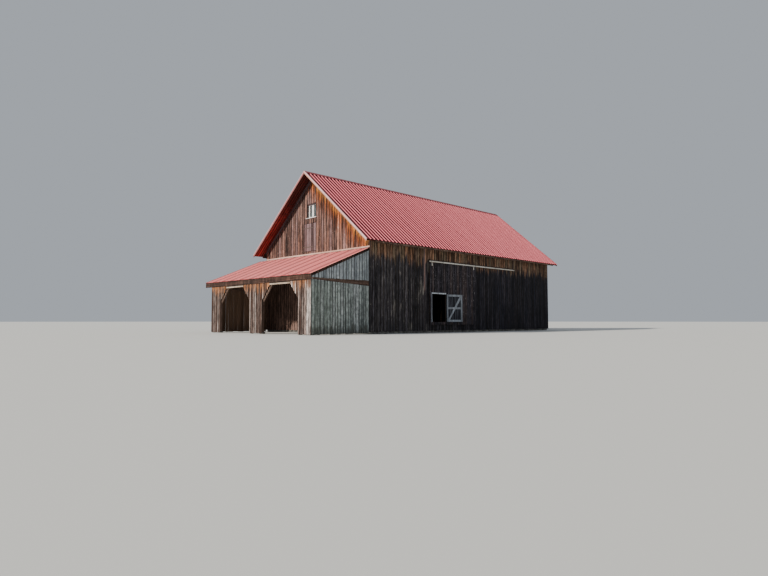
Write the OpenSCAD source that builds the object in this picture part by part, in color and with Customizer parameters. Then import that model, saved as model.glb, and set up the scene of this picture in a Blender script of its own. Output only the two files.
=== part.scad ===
// Timber-framed bank-side hay barn with a steep ribbed metal roof, a top-hung
// sliding door with a small wicket door in it, and an open-fronted lean-to on one gable.
// Millimetres. X runs along the barn, the lean-to is at -X, the sliding door faces -Y.

/* [Barn] */
// Length of the barn over the gable boards
barn_l = 20120; // [17500:10:26000]
// Width of the barn over the eave wall boards
barn_w = 10670; // [9600:10:13000]
// Height of the drip edge of the main roof
eave_h = 5380; // [5250:10:6500]
// Pitch of the main roof in degrees
roof_pitch = 40; // [34:0.5:48]
// Overhang of the main roof at both eaves
eave_over = 565; // [300:5:900]
// Overhang of the main roof at the lean-to gable
near_rake_over = 740; // [300:5:1000]
// Overhang of the main roof at the far gable
far_rake_over = 600; // [300:5:1000]
// Height of the lower ends of the wall boards above the ground
wall_z0 = 120; // [40:5:220]
// Thickness of the wall boards
board_t = 25; // [18:1:40]

/* [Foundation and floor] */
// Height of the stone foundation
found_h = 250; // [200:5:400]
// Thickness of the foundation walls
found_t = 450; // [300:10:700]
// Side of the square stone pads under the inner posts
pad_w = 500; // [300:10:700]
// Side of the square sill timbers
sill_s = 200; // [150:5:250]
// Side of the square floor joists
joist_s = 100; // [80:5:150]
// Largest clear distance between floor joists
joist_step = 900; // [500:10:1400]
// Thickness of the floor planks
plank_t = 50; // [30:1:80]

/* [Timber frame] */
// Side of the square posts
post_s = 200; // [150:5:250]
// Distance from an eave wall's outer face to the middle of the inner posts
inner_y = 2950; // [2400:10:3600]
// Height of the underside of the tie beams
tie_z = 4750; // [4620:10:4900]
// Depth of the tie beams
tie_d = 250; // [180:5:300]
// Height of the wall plates at their outer face
plate_h = 250; // [180:5:300]
// Height of the purlin plates at their lower face
purlin_h = 200; // [150:5:300]
// Leg of the braces from posts to beams
brace_leg = 900; // [600:10:1200]
// Width of the braces
brace_w = 100; // [70:5:150]
// Side of the square girts that the boards are nailed to
girt_s = 100; // [70:5:150]
// Height of the middle of the lower girts
girt_low_z = 2000; // [1500:10:2600]
// Height of the middle of the upper girts
girt_high_z = 3700; // [3300:10:4200]

/* [Main roof] */
// Depth of the rafters
rafter_d = 140; // [120:5:180]
// Width of the rafters
rafter_w = 50; // [40:1:80]
// Largest distance between rafters
rafter_step = 920; // [600:10:1200]
// Thickness of the ridge board
ridge_t = 38; // [25:1:60]
// Thickness of the roof boards
roof_board_t = 25; // [18:1:35]
// Thickness of the sheet metal
sheet_t = 2; // [1:0.5:4]
// Distance between the ribs of the main roof
rib_pitch = 304.8; // [200:0.1:450]
// Height of the ribs
rib_h = 32; // [16:1:40]
// Width of a rib at its foot
rib_base = 76; // [56:1:96]
// Width of a rib at its top
rib_top = 32; // [16:1:48]
// Distance from the sheet's edge to the middle of its first rib
rib_margin = 60; // [52:1:100]
// Half width of the ridge cap, measured level
cap_w = 170; // [120:5:260]
// Reach of the metal beyond the roof boards at the eave
drip = 30; // [15:1:60]
// Height of the eave fascia
fascia_h = 120; // [90:5:160]
// Thickness of fascias, friezes, corner boards and soffits
trim_t = 25; // [18:1:35]
// Depth of the fly rafters that edge the gable overhangs
fly_d = 90; // [60:5:140]
// Thickness of the fly rafters
fly_t = 38; // [25:1:60]
// Width of the frieze boards under the gable soffits
frieze_w = 200; // [120:5:300]
// Drop of the metal rake trim below the roof line
rake_drop = 100; // [70:5:140]
// Width of the rake trim's flange on the roof
rake_flange = 110; // [85:5:160]

/* [Corner and track trims] */
// Width of the corner boards and vertical trim boards
corner_w = 140; // [90:5:200]
// Distance from the door's edge back to the middle of the vertical trim board
side_trim_off = 410; // [250:10:600]

/* [Gable window and hay door] */
// Distance from the front eave wall to the near side of both gable openings
gable_hole_y = 5000; // [4700:10:5300]
// Width of the gable window
window_w = 970; // [800:10:1100]
// Height of the gable window
window_h = 920; // [700:10:1000]
// Height of the window's lower edge
window_z = 7440; // [7400:10:7500]
// Depth of the window's recess from the board face to the sash
window_recess = 120; // [60:5:140]
// Thickness of the window's casing
casing_t = 30; // [20:1:45]
// Width of the sash's outer bars
sash_side_w = 115; // [60:5:140]
// Width of the sash's middle bar
sash_mid_w = 170; // [60:5:200]
// Width of the hay door
hay_w = 1250; // [1150:10:1500]
// Height of the hay door
hay_h = 1840; // [1500:10:1900]
// Height of the hay door's lower edge
hay_z = 5250; // [5150:10:5400]

/* [Sliding door] */
// Distance from the gable to the closed door's near edge
door_x = 5220; // [4800:10:5600]
// Width of the door
door_w = 4900; // [4200:10:5300]
// Height of the door's lower edge
door_z = 500; // [450:5:560]
// Height of the door's upper edge
door_top = 4500; // [4450:5:4520]
// Lap of the door over each side of its doorway
door_lap = 110; // [60:5:180]
// Lap of the door over the head of its doorway
head_lap = 100; // [60:5:150]
// Thickness of the door's boards
door_board_t = 22; // [18:1:30]
// Thickness of the door's frame
door_frame_t = 36; // [25:1:45]
// Width of the door's stiles and rails
door_rail_w = 140; // [100:5:180]
// Gap between the wall boards and the back of the door
door_gap = 46; // [40:1:70]
// Distance between the door's top and the track
track_rise = 45; // [25:1:60]
// Height of the track
track_h = 70; // [60:1:90]
// Width of the track
track_w = 60; // [50:1:80]
// Wall of the track
track_wall = 3; // [2:0.5:5]
// Slot in the underside of the track
track_slot = 26; // [24:1:30]
// Height of the board that carries the track
track_board_h = 140; // [120:5:200]
// Distance from the door's edge to the middle of each hanger
hanger_in = 230; // [120:5:400]

/* [Wicket door] */
// Distance from the sliding door's edge to the wicket doorway
wicket_in = 195; // [150:5:300]
// Width of the wicket doorway
wicket_w = 1400; // [900:10:1600]
// Height of the wicket doorway's sill
wicket_z = 690; // [660:5:760]
// Height of the wicket doorway
wicket_h = 1810; // [1700:10:2000]
// Gap round the wicket leaf
wicket_gap = 8; // [5:1:15]
// Angle at which the wicket leaf stands open at rest
wicket_open = 171; // [90:1:176]
// Thickness of the wicket leaf's rails
wicket_rail_t = 22; // [18:1:30]
// Width of the wicket leaf's rails and stiles
wicket_rail_w = 130; // [90:5:170]
// Diameter of the hinge pins
pin_d = 12; // [8:0.5:16]
// Distance from the door's face to the middle of the hinge pins
pin_off = 16; // [14:0.5:22]

/* [Lean-to] */
// Depth of the lean-to from the gable to the face of its front boards
lean_d = 4185; // [3400:5:5200]
// Height of the lean-to roof line at the gable
lean_top = 5010; // [4850:10:5060]
// Pitch of the lean-to roof in degrees
lean_pitch = 22.4; // [19:0.1:24]
// Reach of the metal beyond the front boards
lean_drip = 60; // [40:5:120]
// Overhang of the lean-to roof on the back side
lean_left_over = 770; // [300:5:900]
// Distance between the ribs of the lean-to roof
lean_rib_pitch = 366; // [200:1:450]
// Depth of the lean-to rafters
lean_rafter_d = 125; // [90:5:160]
// Largest distance between lean-to rafters
lean_rafter_step = 900; // [600:10:1200]
// Side of the square lean-to posts
lean_post_s = 150; // [120:5:200]
// Width of the boarded piers at the ends
end_pier_w = 1140; // [900:10:1400]
// Width of the boarded middle pier
mid_pier_w = 1370; // [1000:10:1700]
// Height of the open bays
bay_h = 2820; // [2400:10:2900]
// Spread of the piers at the head of the bays
flare_w = 760; // [300:10:1000]
// Height over which the piers spread
flare_h = 840; // [300:10:1100]
// Height of the plate's underside above the head of the bays
lean_plate_up = 60; // [20:5:90]
// Width of the lean-to braces, measured level
lean_brace_w = 150; // [100:5:200]
// Thickness of the lean-to braces
lean_brace_t = 75; // [50:5:120]
// Distance by which the lean-to braces stand out of the pier boards into the bays
lean_brace_out = 100; // [0:5:150]
// Height of the lean-to fascia
lean_fascia_h = 300; // [200:5:330]
// Depth of the lean-to rake boards
lean_rake_d = 130; // [80:5:160]
// Height of the stones under the lean-to posts
lean_stone_h = 100; // [60:5:200]
// Gap between the ground and the lean-to boards
ground_gap = 20; // [10:5:60]
// Height of the upper side boards' lower ends
upper_tier_z = 3050; // [2950:5:3100]
// Height of the lower side boards' top at the front
lower_tier_front = 2970; // [2850:5:3000]
// Height of the lower side boards' top at the barn
lower_tier_back = 2760; // [2600:5:2900]
// Height of the girt behind the side boards
side_girt_h = 250; // [150:5:300]
// Height of the flashing against the gable
flashing_h = 100; // [60:5:140]
// Reach of the flashing down the lean-to roof, measured level
flashing_w = 120; // [80:5:300]

/* [Hidden] */
$fn = 32;
// Joint between timbers that share a sub-part
joint = 0.5;
// Joint between boards that share a sub-part
board_joint = 3;
// Clearance between a sloped seat and the timber that rests on it
seat = 0.3;

// Height of the main roof line at level distance y from the front eave wall, moved n square to the slope
function roof_z(y, n = 0) = eave_h + (y + eave_over) * tan(roof_pitch) + n / cos(roof_pitch);
// The same for the lean-to, at level distance x from the gable, which is negative
function lean_z(x, n = 0) = lean_top + x * tan(lean_pitch) + n / cos(lean_pitch);

// Depth below the roof line of the roof boards' underside, then of what carries them
cover = sheet_t + roof_board_t;
deck = cover + seat;
// Depth below the roof line of the rafters' underside
under = deck + rafter_d;
lean_under = deck + lean_rafter_d;
mid_y = barn_w / 2;
rake_x0 = -near_rake_over;
rake_x1 = barn_l + far_rake_over;
lean_edge = lean_d + lean_drip;

// Extents, from which the origin is put under the middle
min_x = -(lean_edge + rib_h * sin(lean_pitch));
max_x = rake_x1 + sheet_t;
eave_reach = eave_over + rib_h * sin(roof_pitch);
min_y = -eave_reach;
max_y = barn_w + max(eave_reach, lean_left_over);

sill_z1 = found_h + sill_s;
floor_z0 = sill_z1 + joist_s;
floor_z = floor_z0 + plank_t;
rows = [board_t + post_s / 2, inner_y, barn_w - inner_y, barn_w - board_t - post_s / 2];
open_x0 = door_x + door_lap;
open_x1 = door_x + door_w - door_lap;
open_top = door_top - head_lap;
last_bent = barn_l - board_t - post_s / 2;
bents = [
    board_t + post_s / 2,
    open_x0 - post_s / 2,
    open_x1 + post_s / 2,
    (open_x1 + post_s / 2 + last_bent) / 2,
    last_bent
];
wall_top = roof_z(0, -under) - 2;
trim_top = roof_z(-trim_t, -under) - 2;
plate_z = roof_z(board_t, -under) - plate_h;
purlin_z = roof_z(inner_y - post_s / 2, -under) - purlin_h;
fascia_z = roof_z(drip - eave_over, -deck) - fascia_h;
hole_y1 = gable_hole_y + hay_w;
window_y1 = gable_hole_y + window_w;

door_x1 = door_x + door_w;
door_back = -door_gap;
door_mid = door_back - door_frame_t;
door_face = door_mid - door_board_t;
track_x1 = door_x + 2 * door_w;
track_z = door_top + track_rise;
track_y = door_gap + (door_frame_t + door_board_t) / 2;
wicket_x0 = door_x + wicket_in;
wicket_x1 = wicket_x0 + wicket_w;
wicket_z1 = wicket_z + wicket_h;
hinge_x = wicket_x1 + 10;
hinge_y = door_face - pin_off;
hinge_heights = [wicket_z + 330, wicket_z1 - 330];

lean_plate_z = bay_h + lean_plate_up;
mid_pier_y0 = mid_y - mid_pier_w / 2;
mid_pier_y1 = mid_y + mid_pier_w / 2;
lean_post_x = board_t - lean_d;
lean_posts_y = [
    board_t,
    end_pier_w - lean_post_s,
    mid_pier_y0,
    mid_pier_y1 - lean_post_s,
    barn_w - end_pier_w,
    barn_w - board_t - lean_post_s
];
lean_left_y = barn_w + lean_left_over;
lean_right_y = -trim_t;

module place() {
    translate([-(min_x + max_x) / 2, -(min_y + max_y) / 2, 0]) children();
}

// A square-edged piece between two corners
module block(lo, hi) {
    translate(lo) cube(hi - lo);
}

// Extrudes an outline drawn in Y and Z from x0 to x1
module along_x(x0, x1) {
    translate([x0, 0, 0]) rotate([90, 0, 90]) linear_extrude(x1 - x0) children();
}

// Extrudes an outline drawn in X and Z from y0 to y1
module along_y(y0, y1) {
    translate([0, y1, 0]) rotate([90, 0, 0]) linear_extrude(y1 - y0) children();
}

// Repeats a front slope's piece on the back slope
module both_slopes() {
    children();
    translate([0, barn_w, 0]) mirror([0, 1, 0]) children();
}

// Repeats a near gable's piece at the far gable
module both_gables() {
    children();
    translate([barn_l, 0, 0]) mirror([1, 0, 0]) children();
}

// Layer of the front slope from y0 to y1, between depths n0 and n1, with plumb ends
module roof_layer(y0, y1, n0, n1) {
    polygon([
        [y0, roof_z(y0, n0)], [y1, roof_z(y1, n0)],
        [y1, roof_z(y1, n1)], [y0, roof_z(y0, n1)]
    ]);
}

// Layer of the lean-to slope from x0 to x1, between depths n0 and n1, with plumb ends
module lean_layer(x0, x1, n0, n1) {
    polygon([
        [x0, lean_z(x0, n0)], [x1, lean_z(x1, n0)],
        [x1, lean_z(x1, n1)], [x0, lean_z(x0, n1)]
    ]);
}

// Cross-section of a ribbed sheet, with its flats on the line y = 0
module ribbed_profile(length, pitch) {
    count = floor((length - 2 * rib_margin) / pitch) + 1;
    rib = [[-rib_base / 2, 0], [-rib_top / 2, rib_h], [rib_top / 2, rib_h], [rib_base / 2, 0]];
    top = concat(
        [[0, 0]],
        [for (i = [0:count - 1]) for (p = rib) [rib_margin + i * pitch + p[0], p[1]]],
        [[length, 0]]
    );
    last = len(top) - 1;
    bottom = [for (i = [0:last]) [top[last - i][0], top[last - i][1] - sheet_t]];
    polygon(concat(top, bottom));
}

// Brace between an upright face at u = 0 and a level face at v = 0, below it
module brace_outline(leg, w) {
    polygon([[0, -leg], [leg, 0], [leg - w, 0], [0, w - leg]]);
}

module foundation() {
    x0 = board_t;
    x1 = barn_l - board_t;
    y0 = board_t;
    y1 = barn_w - board_t;
    color("#6f6b64") {
        block([x0, y0, 0], [x1, y0 + found_t, found_h]);
        block([x0, y1 - found_t, 0], [x1, y1, found_h]);
        block([x0, y0 + found_t + joint, 0], [x0 + found_t, y1 - found_t - joint, found_h]);
        block([x1 - found_t, y0 + found_t + joint, 0], [x1, y1 - found_t - joint, found_h]);
        for (b = [1:3])
            for (r = [1:2])
                translate([bents[b], rows[r], found_h / 2])
                    cube([pad_w, pad_w, found_h], center = true);
        for (y = lean_posts_y)
            block([lean_post_x, y, 0],
                  [lean_post_x + lean_post_s + 100, y + lean_post_s, lean_stone_h]);
    }
}

module floor_frame() {
    half = sill_s / 2;
    sills = [board_t + half, inner_y, barn_w - inner_y, barn_w - board_t - half];
    color("#5a4636") {
        for (y = sills)
            block([board_t, y - half, found_h], [barn_l - board_t, y + half, sill_z1]);
        for (i = [0:2])
            for (x = [board_t, barn_l - board_t - sill_s])
                block([x, sills[i] + half + joint, found_h],
                      [x + sill_s, sills[i + 1] - half - joint, sill_z1]);
        for (b = [0:3]) {
            clear = bents[b + 1] - bents[b] - post_s;
            count = ceil(clear / joist_step);
            for (i = [1:count - 1]) {
                x = bents[b] + post_s / 2 + i * clear / count;
                block([x - joist_s / 2, board_t, sill_z1 + joint],
                      [x + joist_s / 2, barn_w - board_t, floor_z0]);
            }
        }
    }
}

module floor_planks() {
    half = post_s / 2 + board_joint;
    color("#6b5847") {
        for (i = [0:2])
            block([board_t, rows[i] + half, floor_z0], [barn_l - board_t, rows[i + 1] - half, floor_z]);
        for (y = rows)
            for (b = [0:3])
                block([bents[b] + post_s / 2, y - post_s / 2, floor_z0],
                      [bents[b + 1] - post_s / 2, y + post_s / 2, floor_z]);
    }
}

module posts() {
    half = post_s / 2;
    color("#5e4a38")
        for (x = bents)
            for (r = [0:3]) {
                top = (r == 0 || r == 3) ? plate_z : purlin_z;
                block([x - half, rows[r] - half, sill_z1], [x + half, rows[r] + half, top]);
            }
}

module beams() {
    half = post_s / 2;
    color("#634d3a") {
        for (x = bents)
            for (r = [0:2])
                block([x - half, rows[r] + half, tie_z], [x + half, rows[r + 1] - half, tie_z + tie_d]);
        both_slopes() {
            along_x(board_t, barn_l - board_t) beam_under_rafters(board_t, plate_z);
            along_x(board_t, barn_l - board_t) beam_under_rafters(inner_y - half, purlin_z);
        }
    }
}

// Section of a plate that is dressed to the rafters' slope on top
module beam_under_rafters(y0, z0) {
    y1 = y0 + post_s;
    polygon([[y0, z0], [y1, z0], [y1, roof_z(y1, -under - seat)], [y0, roof_z(y0, -under - seat)]]);
}

module frame_braces() {
    half = post_s / 2;
    color("#6a523c") {
        for (x = bents)
            both_slopes()
                translate([0, board_t + post_s, tie_z])
                    along_x(x - brace_w / 2, x + brace_w / 2) brace_outline(brace_leg, brace_w);
        for (r = [1:2])
            for (b = [0:4]) {
                if (b < 4)
                    translate([bents[b] + half, 0, purlin_z]) purlin_brace(rows[r]);
                if (b > 0)
                    translate([bents[b] - half, 0, purlin_z]) mirror([1, 0, 0]) purlin_brace(rows[r]);
            }
    }
}

// Brace from an inner post up to its purlin, in the post row at y
module purlin_brace(y) {
    along_y(y - brace_w / 2, y + brace_w / 2) brace_outline(brace_leg, brace_w);
}

module wall_girts() {
    half = post_s / 2;
    gh = girt_s / 2;
    in_x = board_t + girt_s;
    stud_z = tie_z + tie_d;
    stud_top_low = roof_z(gable_hole_y - girt_s, -under) - 2;
    stud_top_high = roof_z(barn_w - hole_y1 - girt_s, -under) - 2;
    rail_z = (window_z + hay_z + hay_h) / 2;
    color("#5a4534") {
        for (z = [girt_low_z, girt_high_z]) {
            for (b = [0:3]) {
                x0 = bents[b] + half;
                x1 = bents[b + 1] - half;
                if (b != 1)
                    block([x0, board_t, z - gh], [x1, in_x, z + gh]);
                block([x0, barn_w - in_x, z - gh], [x1, barn_w - board_t, z + gh]);
            }
            both_gables()
                for (r = [0:2])
                    block([board_t, rows[r] + half, z - gh], [in_x, rows[r + 1] - half, z + gh]);
        }
        block([open_x0, board_t, open_top], [open_x1, board_t + post_s, open_top + post_s]);
        block([board_t, gable_hole_y - girt_s, stud_z], [in_x, gable_hole_y, stud_top_low]);
        block([board_t, hole_y1, stud_z], [in_x, hole_y1 + girt_s, stud_top_high]);
        rails = [
            [rows[1] + half, gable_hole_y - girt_s - joint],
            [gable_hole_y + joint, hole_y1 - joint],
            [hole_y1 + girt_s + joint, rows[2] - half]
        ];
        for (r = rails)
            block([board_t, r[0], rail_z - gh], [in_x, r[1], rail_z + gh]);
        block([barn_l - in_x, rows[1] + half, rail_z - gh],
              [barn_l - board_t, rows[2] - half, rail_z + gh]);
    }
}

module rafters() {
    span = barn_l - 2 * board_t - rafter_w;
    count = ceil(span / rafter_step);
    y0 = drip + trim_t - eave_over;
    y1 = mid_y - ridge_t / 2 - joint;
    heel_y = y0 + (fascia_z - roof_z(y0, -under)) / tan(roof_pitch);
    ridge_z = roof_z(mid_y - ridge_t / 2, -deck);
    color("#6d5642") {
        for (i = [0:count]) {
            x = board_t + i * span / count;
            both_slopes()
                along_x(x, x + rafter_w)
                    polygon([
                        [y0, fascia_z], [heel_y, fascia_z], [y1, roof_z(y1, -under)],
                        [y1, roof_z(y1, -deck)], [y0, roof_z(y0, -deck)]
                    ]);
        }
        block([board_t, mid_y - ridge_t / 2, ridge_z - rafter_d / cos(roof_pitch)],
              [barn_l - board_t, mid_y + ridge_t / 2, ridge_z]);
    }
}

module roof_boards() {
    color("#7a634c")
        both_slopes()
            along_x(rake_x0, rake_x1) roof_layer(drip - eave_over, mid_y - 10, -cover, -sheet_t - seat);
}

// One slope of ribbed metal, cut square at the eave and short of the ridge
module main_sheet() {
    ridge_gap = 40;
    slope_l = (mid_y + eave_over) / cos(roof_pitch);
    translate([rake_x0, mid_y, roof_z(mid_y)])
        rotate([90 + roof_pitch, 0, 0])
            translate([0, 0, ridge_gap])
                linear_extrude(slope_l - ridge_gap) ribbed_profile(rake_x1 - rake_x0, rib_pitch);
}

module roof_metal_front() {
    color("#a8453f") main_sheet();
}

module roof_metal_back() {
    color("#a8453f") translate([0, barn_w, 0]) mirror([0, 1, 0]) main_sheet();
}

module ridge_cap() {
    y0 = mid_y - cap_w;
    y1 = mid_y + cap_w;
    n0 = rib_h + 2 * seat;
    n1 = n0 + sheet_t;
    color("#8f3b37")
        along_x(rake_x0 - sheet_t, rake_x1 + sheet_t)
            polygon([
                [y0, roof_z(y0, n0)], [mid_y, roof_z(mid_y, n0)], [y1, roof_z(y0, n0)],
                [y1, roof_z(y0, n1)], [mid_y, roof_z(mid_y, n1)], [y0, roof_z(y0, n1)]
            ]);
}

module rake_trims() {
    n0 = rib_h + seat;
    color("#c98580")
        for (side = [0, 1]) {
            leg_x = side == 0 ? rake_x0 - sheet_t : rake_x1;
            flange_x = side == 0 ? rake_x0 - sheet_t : rake_x1 - rake_flange;
            both_slopes() {
                along_x(leg_x, leg_x + sheet_t) roof_layer(-eave_over, mid_y - joint, -rake_drop, n0);
                along_x(flange_x, flange_x + rake_flange + sheet_t)
                    roof_layer(-eave_over, mid_y - cap_w - board_joint, n0, n0 + sheet_t);
            }
        }
}

// Eave fascias on the rafter tails and fly rafters at the gable overhangs
module roof_edge_boards() {
    y0 = drip - eave_over;
    color("#7b5b43")
        both_slopes() {
            along_x(0, barn_l)
                polygon([
                    [y0, fascia_z], [y0 + trim_t, fascia_z],
                    [y0 + trim_t, roof_z(y0 + trim_t, -deck)], [y0, roof_z(y0, -deck)]
                ]);
            for (x = [rake_x0, rake_x1 - fly_t])
                along_x(x, x + fly_t) roof_layer(y0, mid_y - joint, -deck - fly_d, -deck);
        }
}

module rake_soffits() {
    n0 = -deck - fly_d;
    y0 = drip - eave_over;
    color("#7d2f2a")
        both_slopes() {
            along_x(rake_x0 + fly_t, 0) roof_layer(y0, mid_y - joint, n0, n0 + trim_t);
            along_x(barn_l, rake_x1 - fly_t) roof_layer(y0, mid_y - joint, n0, n0 + trim_t);
        }
}

// Gable boarding in upright strips that part at board joints round the openings
module near_gable_wall() {
    g = board_joint / 2;
    top = -deck;
    back_hay = barn_w - hole_y1 - g;
    color("#6d5a4e")
        along_x(0, board_t) {
            roof_strip(0, gable_hole_y - g, wall_z0, top);
            translate([barn_w, 0]) mirror([1, 0]) roof_strip(0, back_hay, wall_z0, top);
            translate([gable_hole_y + g, wall_z0]) square([hay_w - 2 * g, hay_z - wall_z0]);
            translate([gable_hole_y + g, hay_z + hay_h]) square([hay_w - 2 * g, window_z - hay_z - hay_h]);
            translate([window_y1, window_z + board_joint])
                square([hole_y1 - window_y1 - g, window_h - 2 * board_joint]);
            polygon([
                [gable_hole_y + g, window_z + window_h], [hole_y1 - g, window_z + window_h],
                [hole_y1 - g, roof_z(barn_w - hole_y1 + g, top)], [mid_y, roof_z(mid_y, top)],
                [gable_hole_y + g, roof_z(gable_hole_y + g, top)]
            ]);
        }
}

// Upright strip of boarding under the front slope
module roof_strip(y0, y1, z0, n) {
    polygon([[y0, z0], [y1, z0], [y1, roof_z(y1, n)], [y0, roof_z(y0, n)]]);
}

module far_gable_wall() {
    color("#6d5a4e")
        along_x(barn_l - board_t, barn_l)
            polygon([
                [0, wall_z0], [barn_w, wall_z0], [barn_w, roof_z(0, -deck)],
                [mid_y, roof_z(mid_y, -deck)], [0, roof_z(0, -deck)]
            ]);
}

module back_wall() {
    color("#4a4038") block([board_t, barn_w - board_t, wall_z0], [barn_l - board_t, barn_w, wall_top]);
}

module front_wall_left() {
    color("#3f362f") block([board_t, 0, wall_z0], [open_x0, board_t, wall_top]);
}

module front_wall_right() {
    color("#3f362f") block([open_x1, 0, wall_z0], [barn_l - board_t, board_t, wall_top]);
}

// Boards over the doorway, and the short ones below its sill
module front_wall_over_door() {
    color("#4b4036") {
        block([open_x0, 0, open_top], [open_x1, board_t, wall_top]);
        block([open_x0, 0, wall_z0], [open_x1, board_t, floor_z]);
    }
}

module wall_trims() {
    n1 = -deck - fly_d - seat;
    color("#5d5046") {
        both_slopes() {
            both_gables() {
                block([0, -trim_t, wall_z0], [corner_w, 0, trim_top]);
                along_x(-trim_t, 0) roof_layer(0, mid_y - joint, n1 - frieze_w, n1);
            }
        }
        translate([door_x - side_trim_off - corner_w / 2, -trim_t, wall_z0])
            cube([corner_w, trim_t, trim_top - wall_z0]);
        translate([track_x1 - corner_w / 2, -trim_t, track_z + track_board_h])
            cube([corner_w, trim_t, trim_top - track_z - track_board_h]);
    }
}

// Casing, sill and fixed sash of the gable window
module window_frame() {
    x1 = window_recess + 40;
    y0 = gable_hole_y;
    y1 = window_y1;
    z0 = window_z;
    z1 = window_z + window_h;
    in_y0 = y0 + casing_t;
    in_y1 = y1 - casing_t;
    mid = (in_y0 + in_y1) / 2;
    lights = [
        [in_y0 + sash_side_w, mid - sash_mid_w / 2],
        [mid + sash_mid_w / 2, in_y1 - sash_side_w]
    ];
    light_z0 = z0 + casing_t + sash_side_w / 2;
    light_z1 = z1 - casing_t - sash_side_w / 2;
    color("#e8e6e0") {
        difference() {
            block([0, y0, z0], [x1, y1, z1]);
            block([-1, in_y0, z0 + casing_t], [window_recess, in_y1, z1 - casing_t]);
            for (s = lights)
                block([-1, s[0], light_z0], [x1 + 1, s[1], light_z1]);
        }
        block([-60, y0 - 60, z0 - 20], [0, y1 + 60, z0 + 15]);
    }
}

module window_glass() {
    x0 = window_recess + 40;
    color("#8fa3ad")
        block([x0, gable_hole_y + casing_t, window_z + casing_t],
              [x0 + 4, window_y1 - casing_t, window_z + window_h - casing_t]);
}

// Boarded door to the loft, shut, on two long strap hinges
module hay_door() {
    gap = 5;
    color("#5f4f4a") {
        block([0, gable_hole_y + gap, hay_z + gap], [board_t, hole_y1 - gap, hay_z + hay_h - gap]);
        for (z = [hay_z + 300, hay_z + hay_h - 300])
            block([-6, gable_hole_y + 200, z - 25], [0, hole_y1 + 90, z + 25]);
    }
}

module track_board() {
    color("#4f4237")
        block([door_x, track_w / 2 - track_y, track_z], [track_x1, 0, track_z + track_board_h]);
}

module door_track() {
    s = track_slot / 2;
    h = track_w / 2;
    w = track_wall;
    color("#b9b7b0")
        translate([0, -track_y, track_z])
            along_x(door_x, track_x1)
                polygon([
                    [-s, 0], [-h, 0], [-h, track_h], [h, track_h], [h, 0], [s, 0],
                    [s, w], [h - w, w], [h - w, track_h - w], [w - h, track_h - w], [w - h, w], [-s, w]
                ]);
}

// Upright boards of the sliding door, parted at board joints round the wicket doorway
module door_boards() {
    g = board_joint;
    color("#38312c") {
        block([door_x, door_face, door_z], [wicket_x0 - g, door_mid, door_top]);
        block([wicket_x0, door_face, wicket_z1], [wicket_x1, door_mid, door_top]);
        block([wicket_x0, door_face, door_z], [wicket_x1, door_mid, wicket_z]);
        block([wicket_x1 + g, door_face, door_z], [door_x1, door_mid, door_top]);
    }
}

// Stiles, rails and diagonals on the inner face of the sliding door
module door_frame() {
    w = door_rail_w;
    z0 = wicket_z + joint;
    z1 = door_top - w - joint;
    mid_x = (wicket_x1 + w + door_x1 - w) / 2;
    rail_z1 = wicket_z1 + w;
    color("#4a3d33") {
        block([door_x, door_mid, door_z], [door_x1, door_back, wicket_z]);
        block([door_x, door_mid, door_top - w], [door_x1, door_back, door_top]);
        block([door_x, door_mid, z0], [wicket_x0, door_back, z1]);
        block([wicket_x1, door_mid, z0], [wicket_x1 + w, door_back, z1]);
        block([mid_x - w / 2, door_mid, z0], [mid_x + w / 2, door_back, z1]);
        block([door_x1 - w, door_mid, z0], [door_x1, door_back, z1]);
        block([wicket_x0 + joint, door_mid, wicket_z1], [wicket_x1 - joint, door_back, rail_z1]);
        block([wicket_x1 + w + joint, door_mid, wicket_z1], [mid_x - w / 2 - joint, door_back, rail_z1]);
        block([mid_x + w / 2 + joint, door_mid, wicket_z1], [door_x1 - w - joint, door_back, rail_z1]);
    }
}

// Straps on the door's face that rise into the track, each on a pair of wheels
module door_hangers() {
    wheel_r = 27;
    wheel_z = track_z + track_wall + 0.3 + wheel_r;
    color("#c9c7c0")
        for (x = [door_x + hanger_in, door_x1 - hanger_in]) {
            block([x - 40, door_face - 6, door_top - 200], [x + 40, door_face, door_top + 8]);
            block([x - 40, door_face, door_top], [x + 40, 8 - track_y, door_top + 8]);
            translate([x, -track_y, door_top + 4]) cylinder(d = 12, h = wheel_z - door_top - 4);
            translate([x, -track_y + 20, wheel_z]) rotate([90, 0, 0]) cylinder(d = 10, h = 40);
            for (y = [-22, 12])
                translate([x, -track_y + y + 10, wheel_z]) rotate([90, 0, 0]) cylinder(r = wheel_r, h = 10);
        }
}

// Strips on the door's face, over the wicket doorway and along the side where the leaf shuts
module wicket_lintel() {
    y0 = door_face - 18;
    color("#a39c92") {
        block([wicket_x0 - 20, y0, wicket_z1], [wicket_x1 + 20, door_face, wicket_z1 + 80]);
        block([wicket_x0 - 45, y0, wicket_z], [wicket_x0, door_face, wicket_z1 - joint]);
    }
}

// Plates on the sliding door that carry the wicket's hinge pins
module wicket_pintles() {
    color("#55504c")
        for (z = hinge_heights) {
            block([hinge_x - pin_d / 2, door_face - 5, z - 65], [hinge_x + 110, door_face, z - 25]);
            block([hinge_x - pin_d / 2, hinge_y, z - 65], [hinge_x + pin_d / 2, door_face, z - 25]);
            translate([hinge_x, hinge_y, z - 65]) cylinder(d = pin_d, h = 95);
        }
}

// Turns the closed wicket leaf about its hinge to where it rests
module wicket_swing() {
    translate([hinge_x, hinge_y, 0])
        rotate([0, 0, wicket_open])
            translate([-hinge_x, -hinge_y, 0]) children();
}

module wicket_boards() {
    g = wicket_gap;
    color("#4a4540")
        wicket_swing()
            block([wicket_x0 + g, door_face, wicket_z + g], [wicket_x1 - g, door_mid, wicket_z1 - g]);
}

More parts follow.
